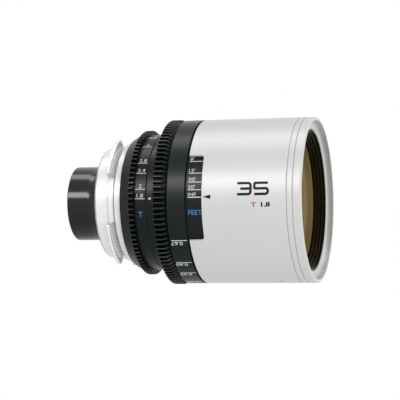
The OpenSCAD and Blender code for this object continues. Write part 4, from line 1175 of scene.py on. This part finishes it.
# %% [markdown]
# ## Pieces that stay as the model has them
# The other screws, the inner glass and the works inside already have their right shape, so they
# only need a finish. The record names a slot for each node, and a table from slot to finish dresses
# them all in one loop.

# %% Finish of the pieces that stay as the model has them
BY_SLOT = {"mount_steel": mount_steel, "screw_steel": screw_steel, "brass": brass, "silver_anodised": silver,
           "bare_aluminium": aluminium, "blued_steel": blued, "white_plastic": acetal, "amber_glass": amber,
           "optical_glass": clear, "black_anodised": black}
slots = {p["node"]: p["material_slot"] for p in frame["record"]["subparts"]}
for name, node in frame["nodes"].items():
    material = BY_SLOT[slots[name]]
    if not node.material_slots:
        node.data.materials.append(material)
    for slot in node.material_slots:
        slot.material = material
print("finished", len(slots), "nodes")

# %% [markdown]
# ## Engraved marks
# The scales are engraved and filled with paint. Each mark is a thin solid that lies in the
# surface and stands 0.015 mm proud. Words and small numbers come from Blender's own font as a
# curve, and the two large digits are bands of one width along a path. A curve bends badly on a
# cylinder, so it becomes a mesh, is sliced across, and is then wrapped: one direction runs
# along the axis and the other round it.

# %% Paints
PAINT_ROUGH = (0.35, 0.5)


def paint(name, dark, light, specular=0.4):
    return finish(name, dark, light, PAINT_ROUGH, 0.0, bump=0.1, rings=2500, grain=5000, specular=specular)


white_paint = paint("white_fill", (0.62, 0.63, 0.64), (0.74, 0.75, 0.76))
blue_paint = paint("blue_fill", (0.03, 0.16, 0.42), (0.05, 0.22, 0.52))
red_paint = paint("red_fill", (0.34, 0.04, 0.05), (0.44, 0.07, 0.08))
dark_paint = paint("dark_fill", (0.002, 0.0025, 0.003), (0.006, 0.0065, 0.007), specular=0.1)
print("paints", [m.name for m in (white_paint, blue_paint, red_paint, dark_paint)])

# %% Flat marks
PROUD = 0.015
SUNK = 0.05
CAPITAL = 0.73
SAME_POINT = 1e-5
LEAST_TURN = 0.3


def flat_text(words, height, bold=0.0, stretch=1.0):
    """A thin solid of the words, with its left foot at the origin, in millimetres."""
    curve = bpy.data.curves.new("words", "FONT")
    curve.body = words
    curve.size = height / CAPITAL
    curve.extrude = (PROUD + SUNK) / 2
    curve.offset = bold
    curve.resolution_u = 6
    obj = bpy.data.objects.new("words", curve)
    scene.collection.objects.link(obj)
    mesh = settled(obj)
    bpy.data.objects.remove(obj)
    bm = bmesh.new()
    bm.from_mesh(mesh)
    bpy.data.meshes.remove(mesh)
    bmesh.ops.remove_doubles(bm, verts=bm.verts, dist=SAME_POINT)
    low = min(v.co.x for v in bm.verts)
    for v in bm.verts:
        v.co.x = (v.co.x - low) * stretch
    return bm


def flat_shape(outline):
    """A thin solid of a flat outline, in millimetres."""
    bm = bmesh.new()
    half = (PROUD + SUNK) / 2
    top = [bm.verts.new((x, y, half)) for x, y in outline]
    foot = [bm.verts.new((x, y, -half)) for x, y in outline]
    bm.faces.new(top)
    bm.faces.new(foot[::-1])
    for k in range(len(outline)):
        j = (k + 1) % len(outline)
        bm.faces.new((foot[k], foot[j], top[j], top[k]))
    return bm


def band(path, width):
    """A thin solid of one width that follows a path of (x, y, corner rounding) points."""
    points = [Vector(p[:2]) for p in rounded(path)]
    sides = ([], [])
    for k, p in enumerate(points):
        before = (p - points[k - 1]).normalized() if k else (points[1] - p).normalized()
        after = (points[k + 1] - p).normalized() if k + 1 < len(points) else before
        along = (before + after).normalized()
        reach = width / 2 / max(LEAST_TURN, along.dot(before))
        across = Vector((-along.y, along.x)) * reach
        sides[0].append(p + across)
        sides[1].append(p - across)
    return flat_shape([tuple(p) for p in sides[0] + sides[1][::-1]])


def line(length, width):
    return flat_shape([(0, -width / 2), (length, -width / 2), (length, width / 2), (0, width / 2)])


def triangle(length, width):
    """A triangle whose tip is at the origin and points towards the rear."""
    return flat_shape([(0, 0), (length, -width / 2), (length, width / 2)])


print("paint stands", PROUD, "mm proud")

# %% Wrap helpers
SLICE = 0.4
CUT_EASE = 1e-6
MARK_SHARP = 40


def wrapped(bm, r, x, degrees=0.0, turned_over=False, centred=False):
    """Bends a flat solid onto the cylinder of radius r, with its origin at x and a clock angle."""
    flip = -1 if turned_over else 1
    mid = (max(v.co.x for v in bm.verts) + min(v.co.x for v in bm.verts)) / 2 if centred else 0.0
    low = min(v.co.y for v in bm.verts)
    high = max(v.co.y for v in bm.verts)
    cuts = int((high - low) / SLICE)
    for k in range(1, cuts + 1):
        spot = low + (high - low) * k / (cuts + 1)
        bmesh.ops.bisect_plane(bm, geom=bm.verts[:] + bm.edges[:] + bm.faces[:], dist=CUT_EASE,
                               plane_co=(0, spot, 0), plane_no=(0, 1, 0))
    base = r + (PROUD - SUNK) / 2
    clock = math.radians(degrees)
    for v in bm.verts:
        v.co = on_axis(x + flip * (v.co.x - mid), base + v.co.z, clock + flip * v.co.y / r)
    return bm


def marks(name, shapes, material, body):
    """One piece of several wrapped solids."""
    whole = bmesh.new()
    for bm in shapes:
        mesh = bpy.data.meshes.new("mark")
        bm.to_mesh(mesh)
        bm.free()
        whole.from_mesh(mesh)
        bpy.data.meshes.remove(mesh)
    piece = new_piece(name, whole, material, sharp=MARK_SHARP)
    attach(piece, body)
    print(piece.name, len(piece.data.polygons), "faces on", body)
    return piece


print("marks are sliced every", SLICE, "mm")

# %% [markdown]
# The distance scale turns with the focus ring under the window, and its lines crowd towards
# infinity, because the turn goes nearly with one over the distance. The second scale, in
# metres, is on the ring itself and reads from the far side.

# %% Scale in feet
SCALE_LINE = 7.6
SCALE_LINE_W = 0.34
FAR_LINE_W = 0.45
FEET_LINE_X = 43.15
FEET_TEXT_X = 43.3
FEET_TEXT = {"height": 1.75, "stretch": 1.3}
FEET_LIFT = 0.8
FAR_TEXT = {"height": 1.6, "stretch": 1.3}
FAR_LIFT = 0.9
FEET_WORD = {"height": 2.4, "bold": 0.03}
FEET_WORD_CLOCK = -12.3
FEET = ((50, 5.2), (20, 10.7), (12, 17.2), (8, 26.4), (6, 36.5), (5, 45.0), (4, 57.0), (3.5, 70.0),
        (3, 86.0), (2.5, 110.0), (2, 150.0))

shapes = [wrapped(line(SCALE_LINE, FAR_LINE_W), DRUM_R, FEET_LINE_X),
          wrapped(flat_text("INF", **FAR_TEXT), DRUM_R, FEET_TEXT_X, FAR_LIFT)]
for feet, angle in FEET:
    shapes.append(wrapped(line(SCALE_LINE, SCALE_LINE_W), DRUM_R, FEET_LINE_X, angle))
    shapes.append(wrapped(flat_text("%g'" % feet, **FEET_TEXT), DRUM_R, FEET_TEXT_X, angle + FEET_LIFT))
marks("distance_scale", shapes, white_paint, "focus_drive")
feet_word = wrapped(flat_text("FEET", **FEET_WORD), DRUM_R, FEET_TEXT_X, FEET_WORD_CLOCK)
marks("feet_word", [feet_word], blue_paint, "focus_drive")

# %% Scale in metres
METRE_LINE_X = 34.1
METRE_TEXT_X = 39.4
METRE_TEXT = {"height": 2.0, "stretch": 1.25}
METRE_DROP = 0.9
METRES = ((-30.2, "0.67"), (-49.2, "0.60"), (-61.3, "0.55"), (-78.0, "0.50"), (-98.0, "0.45"),
          (-121.0, "0.40"), (-150.0, "0.35"))

shapes = []
for angle, words in METRES:
    shapes.append(wrapped(line(SCALE_LINE, SCALE_LINE_W), FOCUS_R, METRE_LINE_X, angle))
    shapes.append(wrapped(flat_text(words, **METRE_TEXT), FOCUS_R, METRE_TEXT_X, angle - METRE_DROP,
                          turned_over=True))
marks("metre_scale", shapes, white_paint, "focus_drive")

# %% [markdown]
# The stops turn with the iris ring past a small triangle on the index ring. They span the
# ring's whole turn of 100 degrees, so that each end stop lands on the triangle.

# %% Iris scale
STOP_LINE = 5.0
STOP_LINE_W = 0.32
STOP_LINE_X = 15.55
STOP_TEXT_X = 18.0
STOP_TEXT = {"height": 1.85, "stretch": 1.25}
STOP_LIFT = 1.1
STOP_LETTER = {"height": 2.8, "bold": 0.04}
STOP_LETTER_X = 18.1
STOP_LETTER_CLOCK = -15.2
STOPS = (("1.8", 0.0), ("2", 7.9), ("2.4", 21.7), ("2.8", 31.4), ("4", 50.8), ("5.6", 67.0), ("8", 80.0),
         ("11", 91.0), ("16", 100.0))

shapes = []
for words, angle in STOPS:
    shapes.append(wrapped(line(STOP_LINE, STOP_LINE_W), IRIS_R, STOP_LINE_X, angle))
    shapes.append(wrapped(flat_text(words, **STOP_TEXT), IRIS_R, STOP_TEXT_X, angle + STOP_LIFT,
                          centred=True))
marks("stop_scale", shapes, white_paint, "iris_drive")
stop_letter = wrapped(flat_text("T", **STOP_LETTER), IRIS_R, STOP_LETTER_X, STOP_LETTER_CLOCK, centred=True)
marks("stop_letter", [stop_letter], blue_paint, "iris_drive")

# %% [markdown]
# The marks on the index ring and on the barrel stay still: a triangle for each scale, and
# plain numbers for the focal length and the widest stop.

# %% Fixed index marks and the numbers of the lens
DIGIT_STROKE = 1.2
DIGIT_H = 5.2
DIGIT_W = 6.4
DIGIT_STEP = 8.2
DIGIT_ROUND = 1.2
DIGIT_X = 67.4
DIGIT_CLOCK = 1.3
BAR_START = 1.5
THREE = [(0, DIGIT_H, 0), (DIGIT_W, DIGIT_H, DIGIT_ROUND), (DIGIT_W, 0, DIGIT_ROUND), (0, 0, 0)]
THREE_BAR = [(BAR_START, DIGIT_H / 2, 0), (DIGIT_W - DIGIT_STROKE / 2, DIGIT_H / 2, 0)]
FIVE = [(DIGIT_STEP + x * DIGIT_W, y * DIGIT_H, corner) for x, y, corner in
        ((1, 1, 0), (0, 1, 0.5), (0, 0.5, 0.5), (1, 0.5, 1.0), (1, 0, DIGIT_ROUND), (0, 0, 0))]
WIDEST_TEXT = {"height": 2.1, "stretch": 1.4}
WIDEST_CLOCK = -7.1
WIDEST_X = 78.7
WIDEST_LETTER_X = 73.9
FOCUS_MARK_X = 50.8
IRIS_MARK_X = 21.9

marks("iris_index", [wrapped(triangle(1.6, 1.5), INDEX_R, IRIS_MARK_X)], white_paint, "lens_body")
dark_marks = [wrapped(triangle(3.8, 2.1), BARREL_R, FOCUS_MARK_X),
              wrapped(flat_text("1.8", bold=0.12, **WIDEST_TEXT), BARREL_R, WIDEST_X, WIDEST_CLOCK)]
for path in (THREE, THREE_BAR, FIVE):
    dark_marks.append(wrapped(band(path, DIGIT_STROKE), BARREL_R, DIGIT_X, DIGIT_CLOCK))
marks("barrel_marks", dark_marks, dark_paint, "lens_body")
barrel_letter = wrapped(flat_text("T", bold=0.08, **WIDEST_TEXT), BARREL_R, WIDEST_LETTER_X, WIDEST_CLOCK)
marks("barrel_letter", [barrel_letter], red_paint, "lens_body")
